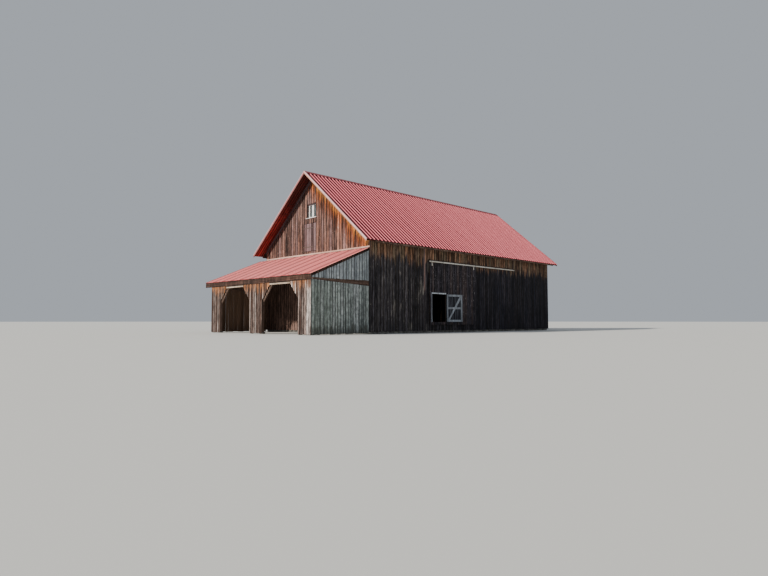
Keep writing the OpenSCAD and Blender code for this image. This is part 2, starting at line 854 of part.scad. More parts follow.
// Stiles, three rails and one diagonal on the wicket's inner face
module wicket_frame() {
    g = wicket_gap;
    w = wicket_rail_w;
    x0 = wicket_x0 + g;
    x1 = wicket_x1 - g;
    z0 = wicket_z + g;
    z1 = wicket_z1 - g;
    mid = (z0 + z1) / 2;
    color("#b3afa6")
        wicket_swing()
            along_y(door_mid, door_mid + wicket_rail_t) {
                difference() {
                    translate([x0, z0]) square([x1 - x0, z1 - z0]);
                    translate([x0 + w, z0 + w]) square([x1 - x0 - 2 * w, mid - w * 1.5 - z0]);
                    translate([x0 + w, mid + w / 2]) square([x1 - x0 - 2 * w, z1 - w * 1.5 - mid]);
                }
                polygon([
                    [x0 + w, z1 - w], [x0 + w, z1 - 2 * w], [x1 - 2 * w, z0 + w],
                    [x1 - w, z0 + w], [x1 - w, z0 + 1.2 * w], [x0 + 1.8 * w, z1 - w]
                ]);
            }
}

module wicket_straps() {
    color("#55504c")
        wicket_swing()
            for (z = hinge_heights)
                difference() {
                    union() {
                        block([hinge_x - 720, door_face - 5, z - 20], [wicket_x1 - joint, door_face, z + 20]);
                        translate([hinge_x, hinge_y, z - 20]) cylinder(r = pin_off - 2, h = 40);
                        block([hinge_x - pin_off + 2, hinge_y, z - 20], [hinge_x - 6, door_face - joint, z + 20]);
                    }
                    translate([hinge_x, hinge_y, z - 21]) cylinder(d = pin_d + 2, h = 42);
                }
}

// Posts, plate, ledger, braces and side girts of the lean-to
module lean_frame() {
    x0 = lean_post_x;
    x1 = x0 + lean_post_s;
    foot = bay_h - flare_h;
    slant = flare_w / flare_h;
    color("#6a4f3b") {
        for (y = lean_posts_y)
            block([x0, y, lean_stone_h], [x1, y + lean_post_s, lean_plate_z - joint]);
        along_y(board_t, barn_w - board_t)
            polygon([
                [x0, lean_plate_z], [x1, lean_plate_z],
                [x1, lean_z(x1, -lean_under - seat)], [x0, lean_z(x0, -lean_under - seat)]
            ]);
        along_y(board_t, barn_w - board_t)
            polygon([
                [-100, lean_z(0, -lean_under) - 240], [0, lean_z(0, -lean_under) - 240],
                [0, lean_z(0, -lean_under - seat)], [-100, lean_z(-100, -lean_under - seat)]
            ]);
        for (e = [end_pier_w, mid_pier_y1])
            lean_brace(e, 1, foot, slant);
        for (e = [mid_pier_y0, barn_w - end_pier_w])
            lean_brace(e, -1, foot, slant);
        for (y = [board_t, barn_w - board_t - girt_s])
            block([x1 + joint, y, upper_tier_z - side_girt_h + 20], [0, y + girt_s, upper_tier_z + 20]);
    }
}

// Brace beside an open bay, from the post's face at y = e towards the bay, flush with the post's back
module lean_brace(e, dir, foot, slant) {
    low = foot - lean_brace_out / slant;
    rise = lean_plate_z - joint - low;
    x1 = lean_post_x + lean_post_s;
    translate([0, e + dir * joint, 0]) mirror([0, dir < 0 ? 1 : 0, 0])
        along_x(x1 - lean_brace_t, x1)
            polygon([
                [0, low], [rise * slant, low + rise],
                [rise * slant - lean_brace_w, low + rise], [0, low + lean_brace_w / slant]
            ]);
}

module lean_rafters() {
    span = barn_w - 2 * board_t - rafter_w;
    count = ceil(span / lean_rafter_step);
    color("#6d5642")
        for (i = [0:count]) {
            y = board_t + i * span / count;
            along_y(y, y + rafter_w) lean_layer(lean_post_x, 0, -lean_under, -deck);
        }
}

module lean_roof_boards() {
    color("#7a634c")
        along_y(lean_right_y, lean_left_y) lean_layer(-lean_d - trim_t, 0, -cover, -sheet_t - seat);
}

module lean_roof_metal() {
    start = 8;
    slope_l = lean_edge / cos(lean_pitch);
    width = lean_left_y - lean_right_y;
    color("#cf7f7a")
        translate([0, lean_left_y, lean_z(0)])
            rotate([90 + lean_pitch, 0, -90])
                translate([0, 0, start])
                    linear_extrude(slope_l - start) ribbed_profile(width, lean_rib_pitch);
}

// Upright boards on the three piers, cut to the braces at the open bays
module lean_front_boards() {
    top = lean_z(-lean_d, -deck);
    foot = bay_h - flare_h;
    color("#9c8a7c")
        along_x(-lean_d, board_t - lean_d) {
            pier_edge(0, end_pier_w, foot, top);
            translate([barn_w, 0]) mirror([1, 0]) pier_edge(0, end_pier_w, foot, top);
            polygon([
                [mid_pier_y0, ground_gap], [mid_pier_y1, ground_gap], [mid_pier_y1, foot],
                [mid_pier_y1 + flare_w, bay_h], [mid_pier_y1 + flare_w, top],
                [mid_pier_y0 - flare_w, top], [mid_pier_y0 - flare_w, bay_h], [mid_pier_y0, foot]
            ]);
        }
}

module pier_edge(y0, y1, foot, top) {
    polygon([
        [y0, ground_gap], [y1, ground_gap], [y1, foot],
        [y1 + flare_w, bay_h], [y1 + flare_w, top], [y0, top]
    ]);
}

// Short boards over the heads of the open bays
module lean_header_boards() {
    top = lean_z(-lean_d, -deck);
    color("#b8a48c")
        for (s = [[end_pier_w, mid_pier_y0], [mid_pier_y1, barn_w - end_pier_w]])
            block([-lean_d, s[0] + flare_w, bay_h], [board_t - lean_d, s[1] - flare_w, top]);
}

// Side boarding in two tiers, with a wedge of a gap between them
module lean_right_wall() {
    x0 = lean_post_x;
    color("#7d827c")
        along_y(0, board_t) {
            polygon([[x0, ground_gap], [0, ground_gap], [0, lower_tier_back], [x0, lower_tier_front]]);
            polygon([[x0, upper_tier_z], [0, upper_tier_z], [0, lean_z(0, -deck)], [x0, lean_z(x0, -deck)]]);
        }
}

module lean_left_wall() {
    x0 = lean_post_x;
    color("#7d827c")
        along_y(barn_w - board_t, barn_w)
            polygon([[x0, ground_gap], [0, ground_gap], [0, lean_z(0, -deck)], [x0, lean_z(x0, -deck)]]);
}

// Front fascia, side rake board and the fly rafter of the wide overhang
module lean_fascias() {
    x0 = -lean_d - trim_t;
    top = lean_z(x0, -deck);
    color("#5b4335") {
        block([x0, lean_right_y, top - lean_fascia_h], [-lean_d, lean_left_y, top]);
        along_y(lean_right_y, 0) lean_layer(joint - lean_d, -joint, -deck - lean_rake_d, -deck);
        along_y(lean_left_y - fly_t, lean_left_y) lean_layer(joint - lean_d, -joint, -deck - fly_d, -deck);
    }
}

module lean_flashing() {
    n0 = rib_h + seat;
    n1 = n0 + sheet_t;
    color("#d8c6a8")
        along_y(lean_right_y, barn_w)
            polygon([
                [-flashing_w, lean_z(-flashing_w, n0)], [0, lean_z(0, n0)],
                [0, lean_z(0) + flashing_h], [-sheet_t, lean_z(0) + flashing_h],
                [-sheet_t, lean_z(-sheet_t, n1)], [-flashing_w, lean_z(-flashing_w, n1)]
            ]);
}

place() foundation();
place() floor_frame();
place() floor_planks();
place() posts();
place() beams();
place() frame_braces();
place() wall_girts();
place() rafters();
place() roof_boards();
place() roof_metal_front();
place() roof_metal_back();
place() ridge_cap();
place() rake_trims();
place() roof_edge_boards();
place() rake_soffits();
place() near_gable_wall();
place() far_gable_wall();
place() back_wall();
place() front_wall_left();
place() front_wall_right();
place() front_wall_over_door();
place() wall_trims();
place() window_frame();
place() window_glass();
place() hay_door();
place() track_board();
place() door_track();
place() door_boards();
place() door_frame();
place() door_hangers();
place() wicket_lintel();
place() wicket_pintles();
place() wicket_boards();
place() wicket_frame();
place() wicket_straps();
place() lean_frame();
place() lean_rafters();
place() lean_roof_boards();
place() lean_roof_metal();
place() lean_front_boards();
place() lean_header_boards();
place() lean_right_wall();
place() lean_left_wall();
place() lean_fascias();
place() lean_flashing();
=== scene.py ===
"""A weathered timber barn with a ribbed red metal roof, a sliding door and a lean-to."""
import math
import random

import bmesh
import bpy
from mathutils import Matrix, Vector, noise


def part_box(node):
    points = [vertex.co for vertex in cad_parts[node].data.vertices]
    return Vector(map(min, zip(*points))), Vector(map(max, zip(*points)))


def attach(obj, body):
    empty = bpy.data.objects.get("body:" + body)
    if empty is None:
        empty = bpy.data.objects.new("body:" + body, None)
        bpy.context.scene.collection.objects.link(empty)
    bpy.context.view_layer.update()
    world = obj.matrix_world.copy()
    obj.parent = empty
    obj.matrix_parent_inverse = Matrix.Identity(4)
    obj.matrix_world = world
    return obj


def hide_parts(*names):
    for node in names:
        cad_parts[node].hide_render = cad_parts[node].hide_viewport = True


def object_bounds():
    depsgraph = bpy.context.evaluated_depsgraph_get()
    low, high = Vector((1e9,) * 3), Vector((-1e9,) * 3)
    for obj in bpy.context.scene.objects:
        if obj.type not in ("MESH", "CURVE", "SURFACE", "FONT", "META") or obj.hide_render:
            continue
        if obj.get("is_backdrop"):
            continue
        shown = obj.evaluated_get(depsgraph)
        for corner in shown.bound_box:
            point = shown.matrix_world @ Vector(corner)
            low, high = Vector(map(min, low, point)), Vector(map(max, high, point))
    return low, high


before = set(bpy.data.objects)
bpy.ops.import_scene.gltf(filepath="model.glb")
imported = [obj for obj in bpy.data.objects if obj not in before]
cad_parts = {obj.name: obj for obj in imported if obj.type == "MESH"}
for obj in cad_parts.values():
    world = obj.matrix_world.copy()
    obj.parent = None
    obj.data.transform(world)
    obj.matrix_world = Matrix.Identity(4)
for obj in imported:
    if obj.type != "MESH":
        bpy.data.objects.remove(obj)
cad_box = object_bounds()
rng = random.Random(41)
noise.seed_set(41)
scene = bpy.context.scene

# Sizes in metres, measured from the near front corner of the barn's walls
BARN_X, BARN_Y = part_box("near_gable_wall")[0][:2]
BARN_L = 20.12
BARN_W = 10.67
EAVE_H = 5.38
PITCH = math.radians(40)
EAVE_OVER = 0.565
NEAR_OVER = 0.74
FAR_OVER = 0.6
BOARD = 0.025
BOARD_W = 0.245
WALL_FOOT = 0.12
WALL_TOP = 5.633
DECK = 0.0273
RIB_H = 0.032
RIB_STEP = 0.3048
RIB_MARGIN = 0.06
LEAN_D = 4.185
LEAN_TOP = 5.01
LEAN_PITCH = math.radians(22.4)
LEAN_LEFT = 0.77
LEAN_RIB_STEP = 0.366
BAY_H = 2.82
FLARE_W = 0.76
FLARE_H = 0.84
BENTS = (0.125, 5.23, 10.11, 15.0525, 19.995)
POST_ROWS = (0.125, 2.95, 7.72, 10.545)
DOORWAY = (5.33, 10.01)
DOOR_X = 5.22
DOOR_W = 4.9
DOOR_Z = 0.5
DOOR_TOP = 4.5
DOOR_FACE = -0.104
DOOR_BACK = -0.082
WICKET_X = (5.415, 6.815)
WICKET_Z = (0.69, 2.5)
WICKET_HINGE = Vector((6.825, -0.12, 0))
WICKET_OPEN = math.radians(171)
GABLE_HOLE = (5.0, 6.25)
HAY_Z = (5.25, 7.09)
WINDOW_Y = (5.0, 5.97)
WINDOW_Z = (7.44, 8.36)
WINDOW_RECESS = 0.12
GIRTS = (0.3, 2.0, 3.7)
EAVE_NAILS = (*GIRTS, 5.5)
OVER_DOOR = 4.4
FLOOR_FOOT = 0.551
FLOOR_TOP = 0.6
POST_S = 0.2
GABLE_TOP = 10.6
PIER_W = 1.14
MIDDLE_PIER = (4.65, 6.02)
SLOPE_L = (BARN_W / 2 + EAVE_OVER) / math.cos(PITCH)
DECK_START = 0.032 / math.cos(PITCH)
UP = Vector((0, 0, 1))
ALONG = Vector((1, 0, 0))
ACROSS = Vector((0, 1, 0))

# Ribs in the width of one roof sheet
SHEET_RIBS = 3

# The camera's place from the same corner, its lens in millimetres and its turns in radians
VIEW_PLACE = (-22.4566, -23.9979, 0.7708)
VIEW_LENS = 26.77
VIEW_RISE = 0.0571
VIEW_TURN = 0.7925


def roof_z(y, n=0.0):
    """Height of the main roof line over y, moved n square to the slope."""
    return EAVE_H + (y + EAVE_OVER) * math.tan(PITCH) + n / math.cos(PITCH)


def lean_z(x, n=0.0):
    """Height of the lean-to roof line over x, moved n square to the slope."""
    return LEAN_TOP + x * math.tan(LEAN_PITCH) + n / math.cos(LEAN_PITCH)


# Camera, floor and light


def add_camera():
    data = bpy.data.cameras.new("view")
    data.sensor_width = 36
    data.lens = VIEW_LENS
    data.clip_end = 900
    camera = bpy.data.objects.new("view", data)
    camera.location = (BARN_X + VIEW_PLACE[0], BARN_Y + VIEW_PLACE[1], VIEW_PLACE[2])
    camera.rotation_euler = (math.radians(90) + VIEW_RISE, 0, VIEW_TURN - math.radians(90))
    scene.collection.objects.link(camera)
    scene.camera = camera


def add_floor():
    bm = bmesh.new()
    bmesh.ops.create_circle(bm, cap_ends=True, segments=64, radius=420)
    mesh = bpy.data.meshes.new("floor")
    bm.to_mesh(mesh)
    bm.free()
    floor = bpy.data.objects.new("floor", mesh)
    scene.collection.objects.link(floor)
    material = bpy.data.materials.new("pale_floor")
    material.use_nodes = True
    surface = material.node_tree.nodes["Principled BSDF"]
    surface.inputs["Base Color"].default_value = (0.6, 0.6, 0.58, 1)
    surface.inputs["Roughness"].default_value = 0.9
    mesh.materials.append(material)
    floor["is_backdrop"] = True


def add_light():
    world = bpy.data.worlds.new("studio")
    scene.world = world
    world.use_nodes = True
    backdrop = world.node_tree.nodes["Background"]
    backdrop.inputs["Color"].default_value = (0.84, 0.91, 1.0, 1)
    backdrop.inputs["Strength"].default_value = 0.48
    azimuth, height = math.radians(18), math.radians(26)
    level = math.cos(height)
    beam = Vector((math.cos(azimuth) * level, -math.sin(azimuth) * level, -math.sin(height)))
    key = bpy.data.lights.new("key", "SUN")
    key.energy = 6.2
    key.angle = math.radians(3)
    key.color = (1.0, 0.94, 0.84)
    lamp = bpy.data.objects.new("key", key)
    lamp.rotation_euler = beam.to_track_quat("-Z", "Y").to_euler()
    scene.collection.objects.link(lamp)


add_camera()
add_floor()
add_light()


# Small helpers for shader nodes

Socket = bpy.types.NodeSocket


def tree_of(*values):
    """The node tree of the first socket among the values."""
    return next(value.id_data for value in values if isinstance(value, Socket))


def join(value, socket):
    """Links a socket, or sets it to a plain value."""
    if isinstance(value, Socket):
        socket.id_data.links.new(value, socket)
    elif socket.type == "RGBA" and len(value) == 3:
        socket.default_value = (*value, 1)
    else:
        socket.default_value = value


def fill(made, **values):
    """Fills a node's sockets by name."""
    for key, value in values.items():
        join(value, made.inputs[key.replace("_", " ")])


def add_node(kind, **values):
    """Adds a shader node to the tree of the sockets that it is given."""
    made = tree_of(*values.values()).nodes.new("ShaderNode" + kind)
    fill(made, **values)
    return made


def mix(factor, first, second, mode="MIX"):
    made = tree_of(factor, first, second).nodes.new("ShaderNodeMix")
    made.data_type = "RGBA"
    made.blend_type = mode
    join(factor, made.inputs[0])
    join(first, made.inputs[6])
    join(second, made.inputs[7])
    return made.outputs[2]


def calc(operation, first, second=0.0):
    made = tree_of(first, second).nodes.new("ShaderNodeMath")
    made.operation = operation
    join(first, made.inputs[0])
    join(second, made.inputs[1])
    return made.outputs[0]


def times(first, second):
    return calc("MULTIPLY", first, second)


def plus(first, second):
    return calc("ADD", first, second)


def minus(first, second):
    return calc("SUBTRACT", first, second)


def between(value, low, high, start=0.0, stop=1.0):
    """Turns a value that runs from low to high into one that runs smoothly from start to stop."""
    made = tree_of(value).nodes.new("ShaderNodeMapRange")
    made.interpolation_type = "SMOOTHSTEP"
    for socket, number in zip(made.inputs, (value, low, high, start, stop)):
        join(number, socket)
    return made.outputs[0]


def tint(colour, mask, strength, other):
    """Lays another colour over a colour where the mask says, up to a strength."""
    return mix(times(mask, strength), colour, other)


def shade_by(colour, value, low, high, start, stop):
    """Darkens or lightens a colour by a value that runs from low to high."""
    return mix(1.0, colour, between(value, low, high, start, stop), "MULTIPLY")


def stretch(vector, size, shift=(0, 0, 0)):
    return add_node("Mapping", Vector=vector, Scale=size, Location=shift).outputs[0]


def clouds(vector, size, shift=(0, 0, 0), detail=3.0, rough=0.55, warp=0.0):
    """Noise with so many swells to the metre along each axis."""
    moved = stretch(vector, size, shift)
    made = add_node("TexNoise", Vector=moved, Scale=1, Detail=detail, Roughness=rough, Distortion=warp)
    return made.outputs[0]


def ramp(value, *stops):
    """A colour that runs through the stops, each given as its place and its colour."""
    made = add_node("ValToRGB", Fac=value)
    parts = made.color_ramp.elements
    while len(parts) < len(stops):
        parts.new(0.5)
    for part, (at, colour) in zip(parts, stops):
        part.position = at
        part.color = (*colour, 1)
    return made.outputs[0]


def split(vector):
    return add_node("SeparateXYZ", Vector=vector).outputs


def new_group(name, inputs, outputs):
    """A shader node group with named sockets; returns it with its inner ends."""
    tree = bpy.data.node_groups.new(name, "ShaderNodeTree")
    for label, kind in inputs:
        tree.interface.new_socket(name=label, in_out="INPUT", socket_type="NodeSocket" + kind)
    for label in outputs:
        tree.interface.new_socket(name=label, in_out="OUTPUT", socket_type="NodeSocketFloat")
    return tree, tree.nodes.new("NodeGroupInput").outputs, tree.nodes.new("NodeGroupOutput").inputs


def put_out(result, **values):
    """Joins values to a group's outputs by name."""
    for name, value in values.items():
        join(value, result[name])


def use_group(group, **values):
    """Places a group in the tree of the sockets that it is given."""
    made = tree_of(*values.values()).nodes.new("ShaderNodeGroup")
    made.node_tree = group
    fill(made, **values)
    return made.outputs


def new_material(name):
    material = bpy.data.materials.new(name)
    material.use_nodes = True
    tree = material.node_tree
    return material, tree, tree.nodes["Principled BSDF"]


def attribute(tree, name, output):
    made = tree.nodes.new("ShaderNodeAttribute")
    made.attribute_name = name
    return made.outputs[output]


def object_position(tree):
    return tree.nodes.new("ShaderNodeTexCoord").outputs["Object"]


def bump(surface, height, distance, strength=0.6):
    made = add_node("Bump", Height=height, Distance=distance, Strength=strength)
    join(made.outputs[0], surface.inputs["Normal"])


# Shared surface effects


def make_grain_group():
    """Sawn grain, streaks, drying cracks and knots on a board's own coordinates."""
    tree, given, result = new_group(
        "Timber grain",
        [("Grain", "Vector")],
        ("Lines", "Bands", "Patches", "Cracks", "Knots", "Height"),
    )
    grain = given["Grain"]
    lines = clouds(grain, (1.6, 150, 150), detail=4, rough=0.65)
    bands = clouds(grain, (0.45, 34, 34), (4, 2, 7), detail=4, rough=0.6)
    patches = clouds(grain, (0.7, 5, 5), detail=4)
    swung = stretch(grain, (0.5, 14, 14))
    rings = add_node("TexWave", Vector=swung, Scale=1, Distortion=5, Detail=2)
    cracks = between(clouds(grain, (1.1, 70, 70), (3, 5, 9), detail=2), 0.66, 0.72)
    field = add_node("TexVoronoi", Vector=stretch(grain, (1.3, 5, 5)), Scale=1)
    knots = between(field.outputs["Distance"], 0.11, 0.05)
    raised = plus(times(lines, 0.6), times(rings.outputs["Fac"], 0.25))
    sunk = minus(raised, times(cracks, 0.9))
    height = plus(sunk, times(knots, 0.3))
    bands, patches = between(bands, 0.32, 0.68), between(patches, 0.3, 0.7)
    put_out(result, Lines=lines, Bands=bands, Patches=patches, Cracks=cracks, Knots=knots, Height=height)
    return tree


def make_edge_group():
    """Dark, ragged edges where rain stands between boards."""
    tree, given, result = new_group(
        "Board edges", [("Across", "Float"), ("Grain", "Vector"), ("Width", "Float")], ("Edge",)
    )
    ragged = times(clouds(given["Grain"], (1.6, 3, 3), (8, 3, 1), detail=4, rough=0.65), 0.5)
    away = plus(calc("ABSOLUTE", given["Across"]), ragged)
    low = minus(1.2, given["Width"])
    put_out(result, Edge=between(away, low, 1.22))
    return tree


def make_streak_group():
    """Rain streaks and blotches that run down a wall, on the object's own coordinates."""
    tree, given, result = new_group(
        "Rain streaks", [("Position", "Vector"), ("Length", "Float")], ("Streaks", "Blotches", "Specks")
    )
    parts = split(given["Position"])
    down = calc("DIVIDE", parts["Z"], given["Length"])
    flat = add_node("CombineXYZ", X=parts["X"], Y=parts["Y"], Z=down).outputs[0]
    fine = clouds(flat, (13, 13, 0.9), detail=4, rough=0.62)
    broad = clouds(flat, (2.1, 2.1, 0.6), (7, 1, 4), detail=3)
    specks = clouds(given["Position"], (14, 14, 5), (2, 9, 4), detail=2, rough=0.4)
    streaks, blotches = between(fine, 0.46, 0.66), between(broad, 0.4, 0.6)
    put_out(result, Streaks=streaks, Blotches=blotches, Specks=between(specks, 0.68, 0.74))
    return tree


def make_metal_group():
    """Fading, run-off dirt and rust on painted sheet, on the object's own coordinates."""
    tree, given, result = new_group(
        "Sheet wear",
        [("Position", "Vector"), ("Sheet", "Float"), ("Run", "Vector")],
        ("Tone", "Fade", "Dirt", "Rust", "Height"),
    )
    moved = tree.nodes.new("ShaderNodeVectorMath")
    moved.operation = "MULTIPLY"
    join(given["Position"], moved.inputs[0])
    join(given["Run"], moved.inputs[1])
    flow = moved.outputs[0]
    sheet = tree.nodes.new("ShaderNodeTexWhiteNoise")
    sheet.noise_dimensions = "1D"
    join(given["Sheet"], sheet.inputs["W"])
    fade = clouds(flow, (0.5, 0.5, 0.5), detail=4)
    dirt = clouds(flow, (7, 7, 7), (2, 3, 5), detail=4, rough=0.6)
    rust = clouds(given["Position"], (3.5, 3.5, 3.5), detail=8, rough=0.7)
    speck = clouds(given["Position"], (60, 60, 60), detail=2)
    height = plus(times(speck, 0.3), fade)
    fade, dirt, rust = between(fade, 0.35, 0.65), between(dirt, 0.42, 0.68), between(rust, 0.66, 0.74)
    put_out(result, Tone=sheet.outputs["Value"], Fade=fade, Dirt=dirt, Rust=rust, Height=height)
    return tree


def make_rib_group():
    """Pale rib tops and a painted highlight on the rib faces toward the light, dirt and painted shadow on
    the lee side between the ribs, and painted shade at the sheets' laps.

    Reach is how far the dirt and painted shadow go from the rib before it, and Number counts the sheets.
    """
    tree, given, result = new_group(
        "Sheet ribs",
        [("Place", "Float"), ("Start", "Float"), ("Pitch", "Float"), ("Reach", "Float")],
        ("Top", "Dirt", "Chalk", "Lap", "Number"),
    )
    turns = calc("DIVIDE", minus(given["Place"], given["Start"]), given["Pitch"])
    behind = times(calc("FRACT", turns), given["Pitch"])
    ahead = minus(given["Pitch"], behind)
    end = plus(given["Reach"], 0.03)
    # Dirt and painted shadow on the lee side of each rib
    dirt = times(between(behind, 0.03, 0.05), between(behind, end, given["Reach"]))
    sheets = calc("DIVIDE", turns, SHEET_RIBS)
    off = minus(calc("FRACT", plus(sheets, 0.5)), 0.5)
    # Pale rib tops, faded paint with a painted highlight
    top = between(calc("MINIMUM", behind, ahead), 0.022, 0.015)
    # Painted highlight on the face of the next rib that looks toward the light
    painted_highlight = between(ahead, 0.037, 0.027)
    # Painted shade along the rib where one sheet laps the next
    lap = between(calc("ABSOLUTE", off), 0.27, 0.07)
    put_out(result, Top=top, Dirt=dirt, Chalk=painted_highlight, Lap=lap, Number=calc("FLOOR", sheets))
    return tree


grain_group = make_grain_group()
edge_group = make_edge_group()
streak_group = make_streak_group()
metal_group = make_metal_group()
rib_group = make_rib_group()


# Wood finishes


class Coat:
    """What a stain function may read of a wooden surface."""

    def __init__(self, tree):
        self.position = object_position(tree)
        parts = split(self.position)
        self.x, self.y, self.z = (parts[axis] for axis in "XYZ")
        self.tone = attribute(tree, "tone", "Fac")
        self.along = attribute(tree, "grain", "Vector")
        self.grain = use_group(grain_group, Grain=self.along)
        self.rain = use_group(streak_group, Position=self.position, Length=1.6)

    def ragged(self, size, low, high):
        """A height that wanders between two values over the wall."""
        swells = clouds(self.position, size, detail=4, rough=0.65)
        return between(swells, 0.3, 0.7, low, high)


def scaled(colour, factor):
    return tuple(channel * factor for channel in colour)


def below_roof(y, z, back=False):
    """How far a point of the object lies below the roof line of the front or the back slope."""
    rise = math.tan(PITCH)
    if back:
        line = plus(times(y, -rise), EAVE_H + (EAVE_OVER + BARN_W + BARN_Y) * rise)
    else:
        line = plus(times(y, rise), EAVE_H + (EAVE_OVER - BARN_Y) * rise)
    return minus(line, z)


def timber(name, dark, light, odd=None, streak=None, stain=None, inner=None, edge=0.75, rough=0.82,
           relief=0.0025, bands=0.3, streaks=0.6, mottle=0.2):
    """Wood with grain, streaks, knots, cracks, dark edges and a tone of its own on each board.

    dark and light are the ends of each board's range, odd is a colour that some boards take, streak is a
    colour that rain leaves, inner is the sheltered side's colour, and stain adds what depends on the place.
    bands, streaks, mottle and edge say how strong the grain, the streaks, the blotches and the dark edges
    are, and relief is the depth of the grain in metres.
    """
    material, tree, surface = new_material(name)
    coat = Coat(tree)
    grain = coat.grain
    shade = plus(times(grain["Patches"], 0.22), times(coat.tone, 0.56))
    shade = plus(shade, times(grain["Bands"], 0.22))
    middle = tuple((a + b) / 2.3 for a, b in zip(dark, light))
    colour = ramp(shade, (0.22, dark), (0.5, middle), (0.78, light))
    if odd:
        turn = calc("FRACT", times(coat.tone, 7.3))
        colour = tint(colour, between(turn, 0.66, 0.7), 0.8, odd)
    if streak:
        colour = tint(colour, coat.rain["Streaks"], streaks, streak)
    if stain:
        colour = stain(coat, colour)
    colour = shade_by(colour, grain["Lines"], 0.3, 0.7, 0.5, 1.25)
    colour = shade_by(colour, grain["Bands"], 0.0, 1.0, 1 - bands, 1 + 0.5 * bands)
    spots = clouds(coat.position, (11, 11, 2.6), (6, 2, 5), detail=5, rough=0.7)
    colour = shade_by(colour, spots, 0.36, 0.64, 1 - mottle, 1 + mottle)
    colour = tint(colour, grain["Knots"], 0.6, scaled(dark, 0.35))
    colour = tint(colour, grain["Cracks"], 0.7, scaled(dark, 0.2))
    across = attribute(tree, "across", "Fac")
    worn = use_group(edge_group, Across=across, Grain=coat.along, Width=0.36)
    colour = tint(colour, worn["Edge"], edge, scaled(dark, 0.22))
    if inner:
        sheltered = ramp(shade, (0.15, scaled(inner, 0.55)), (0.85, scaled(inner, 1.3)))
        colour = mix(attribute(tree, "inner", "Fac"), colour, sheltered)
    dull = between(grain["Lines"], 0.2, 0.8, rough + 0.1, rough - 0.08)
    fill(surface, Base_Color=colour, Roughness=dull, Specular_IOR_Level=0.2)
    bump(surface, grain["Height"], relief)
    return material


def eave_tide(coat, colour):
    """The eave shelters the top of the wall; below a ragged line the boards are nearly black."""
    bands, streaks = coat.grain["Bands"], coat.rain["Streaks"]
    line = plus(coat.ragged((5.5, 5.5, 0.5), 3.9, 4.7), times(coat.tone, 0.3))
    near = between(coat.x, BARN_X + 11, BARN_X + 4)
    black = mix(coat.rain["Blotches"], (0.008, 0.009, 0.018), (0.03, 0.027, 0.036))
    worn = times(bands, plus(times(near, 0.4), 0.1))
    black = mix(worn, black, (0.1, 0.088, 0.088))
    washed = times(streaks, plus(times(near, 0.42), 0.08))
    black = mix(washed, black, (0.16, 0.14, 0.13))
    patch = between(clouds(coat.position, (1.6, 1.6, 0.55), (3, 3, 1), detail=5), 0.6, 0.7)
    black = tint(black, times(patch, near), 0.6, (0.26, 0.23, 0.2))
    black = shade_by(black, coat.tone, 0.0, 1.0, 0.6, 1.5)
    flecks = times(coat.rain["Specks"], between(coat.x, BARN_X + 14, BARN_X + 2, 0.1, 0.6))
    black = mix(flecks, black, (0.33, 0.3, 0.27))
    above = minus(coat.z, line)
    return mix(between(above, -0.2, 0.25), black, colour)


def trim_sun_and_shadow(coat, colour):
    """The near rake's frieze is fresher wood painted sunlit gold; the other friezes are painted nearly black
    as shade.
    """
    bands = coat.grain["Bands"]
    colour = eave_tide(coat, colour)
    middle_x, middle_y = BARN_X + BARN_L / 2, BARN_Y + BARN_W / 2
    away = calc("ABSOLUTE", minus(coat.x, middle_x))
    on_gable = between(away, BARN_L / 2 + 0.001, BARN_L / 2 + 0.004)
    near = times(between(coat.x, middle_x, middle_x - 1), on_gable)
    near = times(near, between(coat.y, middle_y + 0.01, middle_y - 0.01))
    # Painted shade: the gable friezes nearly black
    colour = mix(on_gable, colour, mix(bands, (0.035, 0.024, 0.026), (0.14, 0.1, 0.105)))
    # Painted sunlight: the front-slope frieze on the near gable gold
    return mix(near, colour, mix(bands, (0.5, 0.16, 0.03), (1.0, 0.45, 0.12)))


def trim_tide(coat, colour):
    """The upright board by the door is worn dark from half its height down."""
    line = coat.ragged((5.5, 5.5, 0.5), 2.6, 3.4)
    black = mix(coat.grain["Bands"], (0.012, 0.012, 0.02), (0.085, 0.07, 0.068))
    return mix(between(minus(coat.z, line), -0.3, 0.4), black, colour)


def gable_shelter_sun_and_shade(coat, colour):
    """Under the near rake the boards keep the warm colour of fresh wood, with painted golden sunlight close
    under the rake; painted shadow lies under the far rake, and high up the boards are greyer.
    """
    bands = coat.grain["Bands"]
    drift = plus(coat.ragged((1, 7, 0.7), 0.0, 0.8), times(coat.tone, 0.3))
    drips = between(clouds(coat.position, (1, 12, 0.4), (5, 2, 8), detail=3), 0.42, 0.58)
    below_near = plus(below_roof(coat.y, coat.z), drift)
    below_far = plus(below_roof(coat.y, coat.z, back=True), drift)
    grey = shade_by(colour, coat.z, 6.2, 8.2, 1.0, 0.9)
    grey = mix(0.5, grey, (0.12, 0.09, 0.085))
    colour = tint(colour, between(coat.z, 6.2, 8.2), 0.4, grey)
    colour = tint(colour, coat.rain["Specks"], 0.5, (0.5, 0.4, 0.36))
    lively = plus(times(bands, 0.4), times(coat.tone, 0.6))
    fresh = mix(times(lively, drips), (0.04, 0.01, 0.004), (0.62, 0.15, 0.025))
    colour = tint(colour, between(below_near, 2.9, 1.5), 0.94, fresh)
    # Painted sunlight: a golden band close under the near rake
    painted_sun_colour = mix(lively, (0.42, 0.11, 0.015), (1.0, 0.44, 0.08))
    painted_sun_mask = times(between(below_near, 1.6, 0.9), between(drips, -0.8, 0.5))
    colour = tint(colour, painted_sun_mask, 0.9, painted_sun_colour)
    # Painted shadow of the far rake's overhang on the gable
    colour = tint(colour, between(below_far, 1.6, 0.9), 0.6, (0.06, 0.035, 0.03))
    indoors = between(plus(coat.z, drift), 5.5, 5.1)
    brown = mix(bands, (0.06, 0.035, 0.027), (0.24, 0.15, 0.12))
    return tint(colour, indoors, 0.85, brown)


